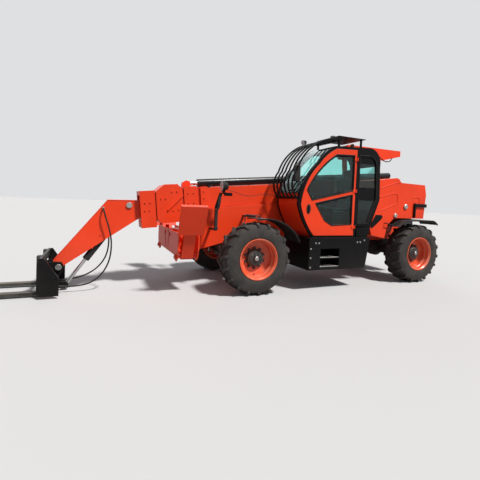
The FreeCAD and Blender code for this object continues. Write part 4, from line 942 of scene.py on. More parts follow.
class Repeats:
    """The trees that the sub-assemblies share, and how they use them."""

    def __init__(self) -> None:
        self.bolt, self.strip, self.slat, self.grip = bolt_tree(), strip_tree(), slat_tree(), grip_tree()

    def bolts(self, name: str, body: str, places: Iterable[tuple[Point, Point]], finish: Finish,
              across: float = 0.024, height: float = 0.012) -> bpy.types.Object:
        """Bolt heads in given places.

        Args:
            name: The piece's name.
            body: The body that it rides on.
            places: The foot of each bolt and the way that it faces.
            finish: The finish of the heads.
            across: Width across the flats.
            height: Height of the head.

        Returns:
            The piece.
        """
        feet, ways = zip(*places)
        data = plain_mesh(name, feet)
        facing = data.attributes.new("facing", "FLOAT_VECTOR", "POINT")
        facing.data.foreach_set("vector", [part for way in ways for part in way])
        return self.bolt.spread(name, body, finish, data, {
            "Across": across, "Height": height, "Washer": across * ACROSS_TO_WASHER,
            "Seat": height * HEIGHT_TO_SEAT})

    def strips(self, name: str, body: str, lines: Sequence[Sequence[Point]], finish: Finish,
               radius: float = 0.006, closed: bool = False, ripple: float = 0.0) -> bpy.types.Object:
        """Round strips along lines.

        Args:
            name: The piece's name.
            body: The body that it rides on.
            lines: The points of each line.
            finish: The finish.
            radius: The strip's radius.
            closed: Whether each line ends where it starts.
            ripple: How uneven the strip is.

        Returns:
            The piece.
        """
        points, edges = [], []
        for line in lines:
            first = len(points)
            points += line
            edges += [(index, index + 1) for index in range(first, len(points) - 1)]
            if closed:
                edges.append((len(points) - 1, first))
        return self.strip.spread(name, body, finish, plain_mesh(name, points, edges),
                                 {"Radius": radius, "Ripple": ripple})


def inset(outline: Sequence[Point], width: float) -> list[Point]:
    """Move the corners of an outline inwards along their mitres.

    Args:
        outline: Corners in a plane, in order.
        width: How far the sides move.

    Returns:
        The inner corners.
    """
    count = len(outline)
    turning = sum(outline[i - 1][0] * outline[i][1] - outline[i][0] * outline[i - 1][1] for i in range(count))
    sign = 1 if turning > 0 else -1
    inner = []
    for index, corner in enumerate(outline):
        at = Vector(corner)
        back = (at - Vector(outline[index - 1])).normalized()
        on = (Vector(outline[(index + 1) % count]) - at).normalized()
        first, second = Vector((-back.y, back.x)) * sign, Vector((-on.y, on.x)) * sign
        mitre = (first + second).normalized()
        inner.append(tuple(at + mitre * width / max(0.4, mitre.dot(first))))
    return inner


def through(start: Point, middle: Point, end: Point, steps: int = 10) -> list[Point]:
    """Follow a circle arc through three points in a plane.

    Args:
        start: Where it starts.
        middle: A point that it passes.
        end: Where it ends.
        steps: How many chords it has.

    Returns:
        Its points.
    """
    (ax, ay), (bx, by), (cx, cy) = start, middle, end
    double = 2 * (ax * (by - cy) + bx * (cy - ay) + cx * (ay - by))
    a, b, c = ax * ax + ay * ay, bx * bx + by * by, cx * cx + cy * cy
    centre = ((a * (by - cy) + b * (cy - ay) + c * (ay - by)) / double,
              (a * (cx - bx) + b * (ax - cx) + c * (bx - ax)) / double)
    first, mid, last = (math.atan2(y - centre[1], x - centre[0]) for x, y in (start, middle, end))
    span = (last - first) % math.tau
    if (mid - first) % math.tau > span:
        span -= math.tau
    radius = math.hypot(ax - centre[0], ay - centre[1])
    return [(centre[0] + radius * math.cos(first + span * step / steps),
             centre[1] + radius * math.sin(first + span * step / steps)) for step in range(steps + 1)]


def bent_outline(corners: Sequence[Point]) -> list[Point]:
    """An outline as (x, z) points in the machine's frame.

    Args:
        corners: (x, z) from the front axle, or (mid_x, mid_z, x, z) at the end of an arc.

    Returns:
        Its points.
    """
    flat = []
    for corner in corners:
        if len(corner) == 2:
            flat.append(corner)
        else:
            flat += through(flat[-1], corner[:2], corner[2:])[1:]
    return placed(flat)


# The machine's sub-assemblies


@dataclass
class Studio:
    """Pale floor, soft light and the camera at the photograph's viewing angle."""

    eye: Point = (2.3914, 5.8529, 1.4895)
    yaw: float = 0.4101
    pitch: float = 0.0336
    roll: float = math.radians(2.3)
    lens: float = 24.73
    sensor: float = 36.0
    shift: float = -0.0552
    floor_half: float = 150.0
    floor_seen: Colour = (0.56, 0.56, 0.565)
    floor_lit: Colour = (0.33, 0.33, 0.33)
    background: Colour = (0.74, 0.745, 0.755)
    sky: Colour = (0.90, 0.94, 1.0)
    sky_strength: float = 0.26
    gloss_share: float = 0.75
    suns: Sequence[tuple[str, Point, float, float, Colour]] = (
        ("Key", (-0.30, 0.48, 0.82), 4.3, 7.0, (1.0, 0.975, 0.94)),
        ("Fill", (-0.30, -0.80, 0.40), 0.6, 60.0, (0.95, 0.97, 1.0)))

    def build(self) -> None:
        """Make the floor, the lights, the world and the camera."""
        self.make_camera()
        self.make_floor()
        self.make_world()
        for sun in self.suns:
            self.make_sun(*sun)
        bpy.context.scene.view_settings.view_transform = "Standard"

    def make_camera(self) -> None:
        """The camera, turned by the fitted yaw, pitch and roll."""
        data = bpy.data.cameras.new("Camera")
        data.lens, data.sensor_width, data.shift_y = self.lens, self.sensor, self.shift
        data.clip_end = 2 * self.floor_half
        camera = link_object("Camera", data)
        forward = Vector((-math.sin(self.yaw) * math.cos(self.pitch),
                          -math.cos(self.yaw) * math.cos(self.pitch), -math.sin(self.pitch)))
        level = forward.cross(Axis.Z.vector).normalized()
        upright = level.cross(forward)
        right = level * math.cos(self.roll) + upright * math.sin(self.roll)
        up = upright * math.cos(self.roll) - level * math.sin(self.roll)
        turn = Matrix((right, up, -forward)).transposed().to_4x4()
        camera.matrix_world = Matrix.Translation(placed([self.eye])[0]) @ turn
        bpy.context.scene.camera = camera

    def make_floor(self) -> None:
        """A plain pale floor, which throws less light up than the camera sees of it."""
        half = self.floor_half
        corners = [(-half, -half, 0), (half, -half, 0), (half, half, 0), (-half, half, 0)]
        floor = link_object("Floor", plain_mesh("Floor", corners, faces=[(0, 1, 2, 3)]))
        shader = Shader("floor")
        seen = shader.value("ShaderNodeLightPath", output="Is Camera Ray")
        floor.data.materials.append(shader.finish({
            "Base Color": shader.mix(seen, self.floor_lit, self.floor_seen), "Roughness": 0.9,
            "Specular IOR Level": 0.1}))

    def make_world(self) -> None:
        """Even pale light, and a white background for the camera, gloss and glass."""
        world = bpy.data.worlds.new("Studio")
        bpy.context.scene.world = world
        world.use_nodes = True
        graph = NodeGraph(world.node_tree)
        graph.tree.nodes.clear()
        rays = graph.node("ShaderNodeLightPath").outputs
        camera, gloss, glass = (
            Value(graph, rays[f"Is {kind} Ray"]) for kind in ("Camera", "Glossy", "Transmission"))
        light = graph.node("ShaderNodeBackground", inputs={
            "Color": (*self.sky, 1.0), "Strength": self.sky_strength})
        back = graph.node("ShaderNodeBackground", inputs={
            "Color": (*self.background, 1.0), "Strength": 1.0})
        both = graph.node("ShaderNodeMixShader", inputs={
            0: camera.most(gloss * self.gloss_share).most(glass), 1: light.outputs[0], 2: back.outputs[0]})
        graph.node("ShaderNodeOutputWorld", inputs={0: both.outputs[0]})

    def make_sun(self, name: str, way: Point, strength: float, spread: float, colour: Colour) -> None:
        """A soft far lamp.

        Args:
            name: The lamp's name.
            way: The way from the machine to the lamp.
            strength: Its strength.
            spread: Its width on the sky in degrees, which softens the shadows.
            colour: Its colour.
        """
        data = bpy.data.lights.new(name, "SUN")
        data.energy, data.color, data.angle = strength, colour, math.radians(spread)
        lamp = link_object(name, data)
        lamp.matrix_world = (-Vector(way)).to_track_quat("-Z", "Y").to_matrix().to_4x4()


@dataclass
class Dressing:
    """The finish of each CAD node."""

    nodes: Sequence[tuple[Finish, str]] = (
        (FINISHES.orange, "chassis_frame stabilizer_beam boom_outer boom_second boom_third boom_fourth "
         "tail_guard cab_panel rear_body_left rear_body_right engine_hood cab_door lift_barrel"),
        (FINISHES.barrel, "extension_barrel tilt_barrel"),
        (FINISHES.black, "carriage cab_frame cab_guard engine_bay step_box lamps"),
        (FINISHES.forks, "forks"),
        (FINISHES.plastic, "fenders"),
        (FINISHES.cabin, "cab_interior"),
        (FINISHES.cast, "counterweight engine_block"),
        (FINISHES.axle, "drive_line axle_front axle_rear"),
        (FINISHES.glass, "cab_glass door_glass"),
        (FINISHES.chrome, "lift_rod tilt_rod extension_rod steering_bar_front steering_bar_rear"),
        (FINISHES.hose, "hose_left hose_right"))
    families: Sequence[tuple[Finish, str]] = (
        (FINISHES.tyre, "tyre_"), (FINISHES.rim, "rim_"), (FINISHES.axle, "knuckle_"),
        (FINISHES.chrome, "stabilizer_rod"), (FINISHES.orange, "stabilizer_"))

    def finish_of(self, name: str) -> Finish:
        """The finish of a node: its own one, or that of its family."""
        own = (finish for finish, names in self.nodes if name in names.split())
        family = (finish for finish, start in self.families if name.startswith(start))
        return next(itertools.chain(own, family))

    def build(self) -> None:
        """Put a material on every CAD node."""
        for name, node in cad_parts.items():
            finish = self.finish_of(name)
            node.data.materials.clear()
            node.data.materials.append(material_of(finish))
            log.info("%s is dressed in %s", name, finish.name)


@dataclass
class Wheels:
    """Nuts, hub cap, hub drum, hub bolts and valve of the four wheels."""

    repeats: Repeats
    nut_circle: float = 0.168
    nut_count: int = 10
    disc_face: float = 0.001
    hub_face: float = 0.1105
    hub_circle: float = 0.088
    hub_bolt_face: float = 0.088
    hub_bolt_count: int = 8
    cap: Sequence[Point] = ((0.0, 0.0), (0.034, 0.0), (0.036, 0.006), (0.030, 0.011), (0.0, 0.013))
    drum: Sequence[Point] = ((0.112, 0.070), (0.133, 0.070), (0.139, 0.063), (0.139, 0.016), (0.151, 0.012),
                             (0.151, 0.001), (0.112, 0.001), (0.112, 0.070))
    valve_circle: float = 0.262

    def build(self) -> None:
        """Dress every wheel."""
        for end, x in (("front", FRONT_AXLE), ("rear", REAR_AXLE)):
            for side, sign in zip(("left", "right"), SIDES):
                self.dress(f"{end}_{side}", x, sign)

    def ring(self, x: float, sign: int, radius: float, face: float, count: int) -> list[tuple[Point, Point]]:
        """Places on a circle round the axle, facing outwards."""
        angles = (math.tau * (step + 0.5) / count for step in range(count))
        return [((x + radius * math.cos(angle), sign * (HALF_TRACK + face),
                  AXLE_HEIGHT + radius * math.sin(angle)), OUTWARDS[sign]) for angle in angles]

    def turned(self, profile: Sequence[Point], x: float, sign: int) -> Shape:
        """A body turned about the axle, from (radius, reach outside the wheel's middle plane) points."""
        return Shape().lathe([(radius, sign * (HALF_TRACK + reach)) for radius, reach in profile],
                             (x, 0.0, AXLE_HEIGHT), Axis.Y)

    def dress(self, corner: str, x: float, sign: int) -> None:
        """Make one wheel's small pieces.

        Args:
            corner: Which wheel it is.
            x: Where its axle is.
            sign: Its side.
        """
        body = f"wheel_{corner}"
        nuts = self.ring(x, sign, self.nut_circle, self.disc_face, self.nut_count)
        self.repeats.bolts(f"wheel_nuts_{corner}", body, nuts, FINISHES.bolt, 0.030, 0.026)
        bolts = self.ring(x, sign, self.hub_circle, self.hub_bolt_face, self.hub_bolt_count)
        self.repeats.bolts(f"hub_bolts_{corner}", body, bolts, FINISHES.bolt, 0.016, 0.008)
        cap = [(radius, self.hub_face + reach) for radius, reach in self.cap]
        self.turned(cap, x, sign).hand_over(f"hub_cap_{corner}", body, FINISHES.pin)
        self.turned(self.drum, x, sign).hand_over(f"hub_drum_{corner}", body, FINISHES.axle, 0.002)
        foot = Vector((x, sign * (HALF_TRACK + 0.010), AXLE_HEIGHT - self.valve_circle))
        valve = Shape().rod(foot, foot + Vector((0.0, sign * 0.045, -0.004)), 0.006, 12)
        valve.hand_over(f"valve_{corner}", body, FINISHES.bolt)


@dataclass
class BoomDetails:
    """Bolts, pins and lines on the boom's sections."""

    repeats: Repeats
    pivot_x: float = FRONT_AXLE - 3.750
    pivot_z: float = 1.895
    slope: float = math.radians(5.5)
    heads: Sequence[tuple[str, float, float, Sequence[Point]]] = (
        ("outer", 0.286, 0.020, ((4.43, -0.19), (4.43, -0.06), (4.43, 0.07), (4.43, 0.19))),
        ("second", 0.264, 0.018, (
            (4.61, -0.17), (4.61, 0.0), (4.61, 0.17), (4.71, -0.17), (4.71, 0.0), (4.71, 0.17))),
        ("third", 0.242, 0.020, (
            (5.17, 0.10), (5.09, 0.10), (4.98, 0.21), (4.89, 0.21), (4.97, -0.11), (4.88, -0.10))),
        ("fourth", 0.220, 0.022, ((5.43, 0.047), (5.345, 0.047), (5.44, -0.082), (5.36, -0.082))))
    pin_cap: Point = (0.366, 0.386)
    weld_reaches: Point = (0.2, 1.6, 3.0, 4.3)
    line_reaches: Point = (0.25, 1.2, 2.4, 3.6, 4.28)
    line_sides: Point = (0.15, 0.18, 0.21)
    clamp_reaches: Point = (0.5, 1.5, 2.5, 3.5, 4.2)

    def at(self, reach: float, rise: float, y: float) -> Point:
        """A point given along and across the boom."""
        return (self.pivot_x + reach * math.cos(self.slope) + rise * math.sin(self.slope), y,
                self.pivot_z - reach * math.sin(self.slope) + rise * math.cos(self.slope))

    def build(self) -> None:
        """Make the bolts of the heads, the pins' caps, the beads of weld and the lines on top."""
        for section, y, across, spots in self.heads:
            places = [(self.at(reach, rise, sign * y), OUTWARDS[sign])
                      for reach, rise in spots for sign in SIDES]
            self.repeats.bolts(f"{section}_head_bolts", f"boom_{section}", places, FINISHES.orange, across)
        caps = Shape()
        for sign in SIDES:
            ends = [(self.pivot_x, sign * y, self.pivot_z) for y in self.pin_cap]
            caps.rod(*ends, 0.070, 32)
        caps.hand_over("boom_pin_caps", "root", FINISHES.pin, 0.003)
        welds = [[self.at(reach, 0.256, sign * 0.262) for reach in self.weld_reaches] for sign in SIDES]
        self.repeats.strips("boom_top_welds", "boom_outer", welds, FINISHES.orange, 0.006, ripple=0.006)
        lines = [[self.at(reach, 0.262, y) for reach in self.line_reaches] for y in self.line_sides]
        self.repeats.strips("boom_top_lines", "boom_outer", lines, FINISHES.hose, 0.011)
        clamps = Shape()
        for reach in self.clamp_reaches:
            ends = self.at(reach, 0.250, 0.132), self.at(reach + 0.04, 0.278, 0.228)
            clamps.block([min(pair) for pair in zip(*ends)], [max(pair) for pair in zip(*ends)])
        clamps.hand_over("boom_line_clamps", "boom_outer", FINISHES.black, 0.002)


@dataclass
class ThirdHead:
    """The third boom section with its profiled head and slide pads, in place of the plain one."""

    boom: BoomDetails
    back: float = 0.240
    start: float = 4.790
    end: float = 5.250
    width: float = 0.452
    depth: float = 0.412
    wall: float = 0.008
    cheek: float = 0.016
    below: float = 0.110
    above: float = 0.130
    rib_stands: float = 0.024
    pad: float = 0.0137

    def points(self, corners: Sequence[Point]) -> list[Point]:
        """Corners along and across the boom, as (x, z) in the machine's frame."""
        return [self.boom.at(reach, rise, 0.0)[::2] for reach, rise in corners]

    def bar(self, ends: Point, rises: Point) -> list[Point]:
        """The outline of a bar along the boom, between two reaches and two rises."""
        (back, front), (low, high) = ends, rises
        return self.points([(back, low), (front, low), (front, high), (back, high)])

    def build(self) -> None:
        """Make the tube, the head's cheeks, top, bottom and rib, and the pads in its mouth."""
        half, deep = self.width / 2, self.depth / 2
        inner, room = half - self.wall, deep - self.wall
        low, high = -deep - self.below, deep + self.above
        a, b = self.start, self.end
        face = half + self.cheek
        top = [(a, room), (a, high - 0.090), (a + 0.090, high), (b - 0.150, high), (b, high - 0.110),
               (b, room)]
        base = [(a, -room), (b, -room), (b, low + 0.060), (b - 0.060, low), (a + 0.050, low),
                (a, low + 0.040)]
        rib = [(b - 0.185, -0.113), (b - 0.169, -0.097), (b - 0.446, 0.145), (b - 0.462, 0.129)]
        shape, pads, mouth = Shape(), Shape(), (b - 0.160, b - 0.020)
        for rise in (-deep, room):
            shape.plate(self.bar((self.back, b - 0.01), (rise, rise + self.wall)), -half, half)
        for block in (top, base):
            shape.plate(self.points(block), -inner, inner)
        for sign in SIDES:
            shape.plate(self.bar((self.back, a), (-room, room)), sign * inner, sign * half)
            shape.plate(self.points(base[1:] + top), sign * inner, sign * face)
            shape.plate(self.points(rib), sign * face, sign * (face + self.rib_stands))
            pads.plate(self.bar(mouth, (-room * 0.6, room * 0.6)), sign * inner, sign * (inner - self.pad))
        for rise in (-room, room - self.pad):
            pads.plate(self.bar(mouth, (rise, rise + self.pad)), -inner * 0.8, inner * 0.8)
        section = shape.hand_over("boom_third_formed", "boom_third", FINISHES.orange, 0.003)
        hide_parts("boom_third")
        pads.hand_over("third_slide_pads", "boom_third", FINISHES.plastic)


@dataclass
class Fenders:
    """Curved fenders with a turned lip and their stays, in place of the plain sheets."""

    low: float = 0.800
    high: float = 1.190
    thickness: float = 0.006
    lip: float = 0.018
    lip_width: float = 0.005
    front: Sequence[Point] = (
        (0.060, 1.236), (-0.100, 1.240), (-0.440, 1.172, -0.690, 0.985), (-0.765, 0.860))
    rear: Sequence[Point] = (
        (-3.040, 1.130), (-3.210, 1.262), (-3.970, 1.268), (-4.070, 1.245, -4.150, 1.180))
    stays: Sequence[Point] = ((-0.050, 1.240), (-3.690, 1.262))
    loops: Sequence[Sequence[Point]] = (
        ((-0.033, 1.10, 1.244), (-0.012, 1.10, 1.282), (0.200, 1.10, 1.300), (0.232, 1.10, 1.285),
         (0.238, 1.10, 1.200)),
        ((-3.030, 1.10, 1.144), (-2.937, 1.10, 1.168), (-2.799, 1.10, 1.197), (-2.790, 1.045, 1.197)),
        ((-2.965, 1.10, 1.163), (-2.930, 1.10, 1.110), (-2.909, 1.10, 1.045), (-2.868, 1.045, 1.020)))

    def build(self) -> None:
        """Make the sheets, their lips and the tubes that carry them."""
        shape = Shape()
        for corners in (self.front, self.rear):
            path = bent_outline(corners)
            shape.sheet(path, self.thickness, self.low, self.high)
            for y, width in ((self.low, self.lip_width), (self.high, -self.lip_width)):
                shape.sheet(path, -self.lip, y, y + width)
                shape.tube([(x, y, z) for x, z in path], 0.007, 8)
        for x, crown in self.stays:
            shape.block((ahead(x) - 0.040, 0.350, crown - 0.001), (ahead(x), self.low + 0.020, crown + 0.025))
        for loop in self.loops:
            shape.tube(placed(loop), 0.010, 10)
        piece = shape.mirrored().hand_over("fenders_formed", "root", FINISHES.plastic)
        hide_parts("fenders")


@dataclass
class GooseneckDetails:
    """Pins, fittings and beads of weld of the gooseneck and the carriage."""

    repeats: Repeats
    side: float = 0.110
    tilt_base: Point = (ahead(1.8996), 1.370)
    carriage_pin: Point = (ahead(2.9096), 0.390)
    tilt_side: float = 0.125
    cap: float = 0.008
    cap_bolt_circle: float = 0.030
    cap_bolt_angles: Point = (0.5, 2.6, 4.7)
    ports: Sequence[Point] = ((1, 2.320, 1.314), (-1, 2.290, 1.250))
    seam: Sequence[Point] = ((1.715, 1.452), (2.228, 1.442), (2.975, 0.500))
    studs: Sequence[Point] = ((2.330, 0.883), (2.447, 0.672))

    def caps(self, name: str, pin: Point, y: float, radius: float) -> None:
        """The two end caps of a pin.

        Args:
            name: The piece's name.
            pin: The pin's (x, z).
            y: Where it ends.
            radius: The caps' radius.
        """
        caps, (x, z) = Shape(), pin
        for sign in SIDES:
            caps.rod((x, sign * y, z), (x, sign * (y + self.cap), z), radius, 32)
        caps.hand_over(name, "boom_fourth", FINISHES.pin, 0.002)

    def build(self) -> None:
        """Make the caps of the pins, their bolts, the hoses' fittings, the welds and the studs."""
        self.caps("tilt_base_pin_caps", self.tilt_base, self.tilt_side, 0.048)
        x, z = self.tilt_base
        ring, face = self.cap_bolt_circle, self.tilt_side + self.cap
        bolts = [((x + ring * math.cos(angle), sign * face, z + ring * math.sin(angle)), OUTWARDS[sign])
                 for sign in SIDES for angle in self.cap_bolt_angles]
        self.repeats.bolts("tilt_base_pin_bolts", "boom_fourth", bolts, FINISHES.steel, 0.012, 0.006)
        self.caps("carriage_pin_caps", self.carriage_pin, 0.175, 0.046)
        fittings = Shape()
        for sign, x, z in self.ports:
            nut, end = sign * (self.side + 0.034), sign * (self.side + 0.050)
            fittings.rod((x, sign * self.side, z), (x, nut, z), 0.019, 6)
            fittings.rod((x, nut, z), (x, end, z), 0.0155, 20)
        fittings.hand_over("gooseneck_fittings", "boom_fourth", FINISHES.steel, 0.001)
        seams = [[(ahead(x), sign * (self.side + 0.001), z) for x, z in self.seam] for sign in SIDES]
        self.repeats.strips("gooseneck_welds", "boom_fourth", seams, FINISHES.orange, 0.005, ripple=0.005)
        studs = [((ahead(x), sign * self.side, z), OUTWARDS[sign]) for x, z in self.studs for sign in SIDES]
        self.repeats.bolts("gooseneck_studs", "boom_fourth", studs, FINISHES.orange, 0.020)


def smooth_path(route: Sequence[Point]) -> list[Point]:
    """Points of a soft curve that starts and ends with a route and bends towards its other points.

    Args:
        route: The points that lead the curve.

    Returns:
        Close points on the curve.
    """
    curve = bpy.data.curves.new("Route", "CURVE")
    curve.dimensions = "3D"
    curve.resolution_u = 10
    spline = curve.splines.new("NURBS")
    spline.points.add(len(route) - 1)
    for point, place in zip(spline.points, route):
        point.co = (*place, 1.0)
    spline.order_u = 3
    spline.use_endpoint_u = True
    guide = link_object("Guide", curve)
    line = evaluated_mesh(guide)
    path = [tuple(vert.co) for vert in line.vertices]
    bpy.data.objects.remove(guide)
    bpy.data.meshes.remove(line)
    return path


@dataclass
class Hose:
    """A free hydraulic hose from the gooseneck to the carriage."""

    name: str
    route: Sequence[Point]
    length: float
    diameter: float = 0.024
    joint_start: Point = (2.330, 0.0, 1.300)
    joint_end: Point = (3.100, 0.0, 0.110)

    def build(self) -> None:
        """Make the hose as a tube along its spline."""
        path = smooth_path(self.route)
        piece = Shape().tube(path, self.diameter / 2, 14).to_object(self.name + "_rubber")
        soften(piece)
        piece.data.materials.append(material_of(FINISHES.hose))
        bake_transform(piece)
        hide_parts(self.name)
        log.info("%s is %.3f m long", self.name, self.length)


@dataclass
class Line:
    """A free cable or hose that keeps its shape, along a soft curve led by its route."""

    name: str
    body: str
    diameter: float
    route: Sequence[Point]

    def build(self) -> None:
        """Make the line."""
        path = smooth_path(self.route)
        piece = Shape().tube(path, self.diameter / 2, 10).hand_over(self.name, self.body, FINISHES.hose)


@dataclass
class StabilizerDetails:
    """Pin heads, their bolts and beads of weld on the stabilizers' beam."""

    repeats: Repeats
    face: float = ahead(1.240)
    pins: Sequence[Point] = ((0.015, 0.750, 0.600, 0.040), (0.0, 0.200, 0.900, 0.032))

    def build(self) -> None:
        """Make the pin heads and their keeper bolts on the beam."""
        heads, bolts = Shape(), []
        for sign in SIDES:
            for stands, y, z, radius in self.pins:
                start = self.face + stands
                heads.rod((start, sign * y, z), (start + 0.010, sign * y, z), radius, 28)
                bolts.append(((start + 0.010, sign * y, z), Axis.X.value))
        heads.hand_over("beam_pin_heads", "root", FINISHES.orange, 0.002)
        self.repeats.bolts("beam_pin_bolts", "root", bolts, FINISHES.steel, 0.020, 0.010)
        seam = [[(self.face + 0.001, sign * 0.122, z) for z in (0.635, 0.800, 0.958)] for sign in SIDES]
        self.repeats.strips("beam_welds", "root", seam, FINISHES.orange, 0.005, ripple=0.005)


@dataclass
class CabShell:
    """Borders, seals, door handle, quarter panels, skirt, mirror and beacon of the cab."""

    repeats: Repeats
    door_face: float = 1.125
    outer: float = 1.110
    glass_face: float = 1.0885
    door_glass_face: float = 1.1085
    door: Sequence[Point] = (
        (-1.950, 0.965), (-1.075, 0.965), (-0.905, 1.200, -0.790, 1.490), (-0.838, 1.740, -1.140, 2.210),
        (-1.300, 2.385, -1.500, 2.510), (-1.960, 2.530))
    upper: Sequence[Point] = (
        (-1.905, 1.785), (-1.010, 1.580), (-0.900, 1.750), (-1.160, 2.130, -1.500, 2.405), (-1.905, 2.425))
    lower: Sequence[Point] = (
        (-1.290, 1.230), (-1.085, 1.525), (-1.890, 1.710), (-1.895, 1.170), (-1.450, 1.145))
    quarter: Sequence[Point] = (
        (-2.045, 1.190), (-2.045, 2.440), (-2.290, 2.450), (-2.400, 2.400, -2.455, 2.260), (-2.480, 1.660),
        (-2.290, 1.190))
    quarter_top: Sequence[Point] = (
        (-2.047, 2.300), (-2.047, 2.438), (-2.290, 2.448), (-2.380, 2.410, -2.443, 2.300))
    quarter_band: Sequence[Point] = (
        (-2.047, 1.620), (-2.047, 1.860), (-2.468, 1.860), (-2.476, 1.660), (-2.462, 1.620))
    skirt_panel: Sequence[Point] = ((-2.010, 0.931), (-2.310, 0.931), (-2.385, 1.135), (-2.010, 1.135))
    box_end: Sequence[Point] = ((-2.198, 0.929), (-2.198, 0.400), (-2.215, 0.400), (-2.310, 0.929))
    handle: Point = (ahead(-0.945), 1.425)
    cup: Point = (0.043, 0.085)
    grip: Sequence[Point] = ((0.004, -0.06), (0.022, -0.045), (0.026, 0.0), (0.022, 0.045), (0.004, 0.06))
    mirror_box: Sequence[Point] = ((-0.800, 1.005, 1.885), (-0.680, 1.050, 2.170))
    mirror_glass: Sequence[Point] = ((-0.802, 1.012, 1.900), (-0.799, 1.043, 2.155))
    mirror_arm: Sequence[Point] = ((-0.740, 1.030, 1.895), (-0.765, 1.055, 1.860), (-0.800, 1.085, 1.830))
    beacon_foot: Point = (ahead(-2.120), 0.800, 2.592)

    def build(self) -> None:
        """Dress the cab's outside."""
        self.borders()
        self.seals()
        self.make_handle()
        self.panels()
        self.mirror()
        self.beacon()

    def borders(self) -> None:
        """The black borders on the glass of the door and of the quarter window."""
        for name, body, outlines, y, width in (
                ("door_glass_borders", "cab_door", (self.upper, self.lower), self.door_glass_face, 0.030),
                ("quarter_glass_border", "root", (self.quarter,), self.glass_face, 0.028)):
            shape = Shape()
            for outline in outlines:
                shape.border(bent_outline(outline), width, y, y + 0.002)
            shape.hand_over(name, body, FINISHES.rubber)

    def seals(self) -> None:
        """Rubber round the door, its two windows and the quarter window."""
        for name, body, outlines, y, radius in (
                ("door_window_seals", "cab_door", (self.upper, self.lower), self.door_face - 0.003, 0.012),
                ("quarter_window_seal", "root", (self.quarter,), self.outer - 0.001, 0.009),
                ("door_seal", "root", (self.door,), self.outer - 0.004, 0.010)):
            lines = [[(x, y, z) for x, z in bent_outline(outline)] for outline in outlines]
            self.repeats.strips(name, body, lines, FINISHES.rubber, radius, closed=True)

    def make_handle(self) -> None:
        """The oval cup and its grip on the door."""
        (x, z), (half, rise) = self.handle, self.cup
        angles = (math.tau * step / 36 for step in range(36))
        cup = [(x + half * math.cos(angle), z + rise * math.sin(angle)) for angle in angles]
        Shape().plate(cup, self.door_face - 0.002, self.door_face + 0.006).hand_over(
            "door_handle_cup", "cab_door", FINISHES.plastic, 0.003)
        grip = [(x, self.door_face + out, z + along) for out, along in self.grip]
        Shape().tube(grip, 0.009, 12).hand_over("door_handle_grip", "cab_door", FINISHES.plastic)

    def panels(self) -> None:
        """The black panels: on the quarter window, under it, and the step box's sloping end."""
        for name, bevel, plates in (
                ("quarter_panels", 0.0, ((self.quarter_top, self.glass_face, self.glass_face + 0.004),
                                         (self.quarter_band, self.glass_face, self.glass_face + 0.004))),
                ("cab_skirt", 0.003, ((self.skirt_panel, 1.085, self.outer), (self.box_end, 0.900, 1.189)))):
            shape = Shape()
            for outline, low, high in plates:
                shape.plate(bent_outline(outline), low, high)
            shape.hand_over(name, "root", FINISHES.black, bevel)

    def mirror(self) -> None:
        """The front mirror in its housing, and its arm."""
        for name, ends, finish, bevel in (("mirror_housing", self.mirror_box, FINISHES.plastic, 0.014),
                                          ("mirror_face", self.mirror_glass, FINISHES.chrome, 0.0)):
            Shape().block(*placed(ends)).hand_over(name, "root", finish, bevel)
        Shape().tube(placed(self.mirror_arm), 0.009, 10).hand_over("mirror_arm", "root", FINISHES.black)

    def beacon(self) -> None:
        """The amber beacon on the roof."""
        for name, finish, bevel, profile in (
                ("beacon_foot", FINISHES.plastic, 0.002,
                 ((0.0, 0.0), (0.050, 0.0), (0.050, 0.024), (0.0, 0.024))),
                ("beacon_dome", FINISHES.amber_lens, 0.0,
                 ((0.0, 0.024), (0.044, 0.024), (0.042, 0.085), (0.030, 0.108), (0.0, 0.114)))):
            Shape().lathe(profile, self.beacon_foot, Axis.Z, 28).hand_over(name, "root", finish, bevel)


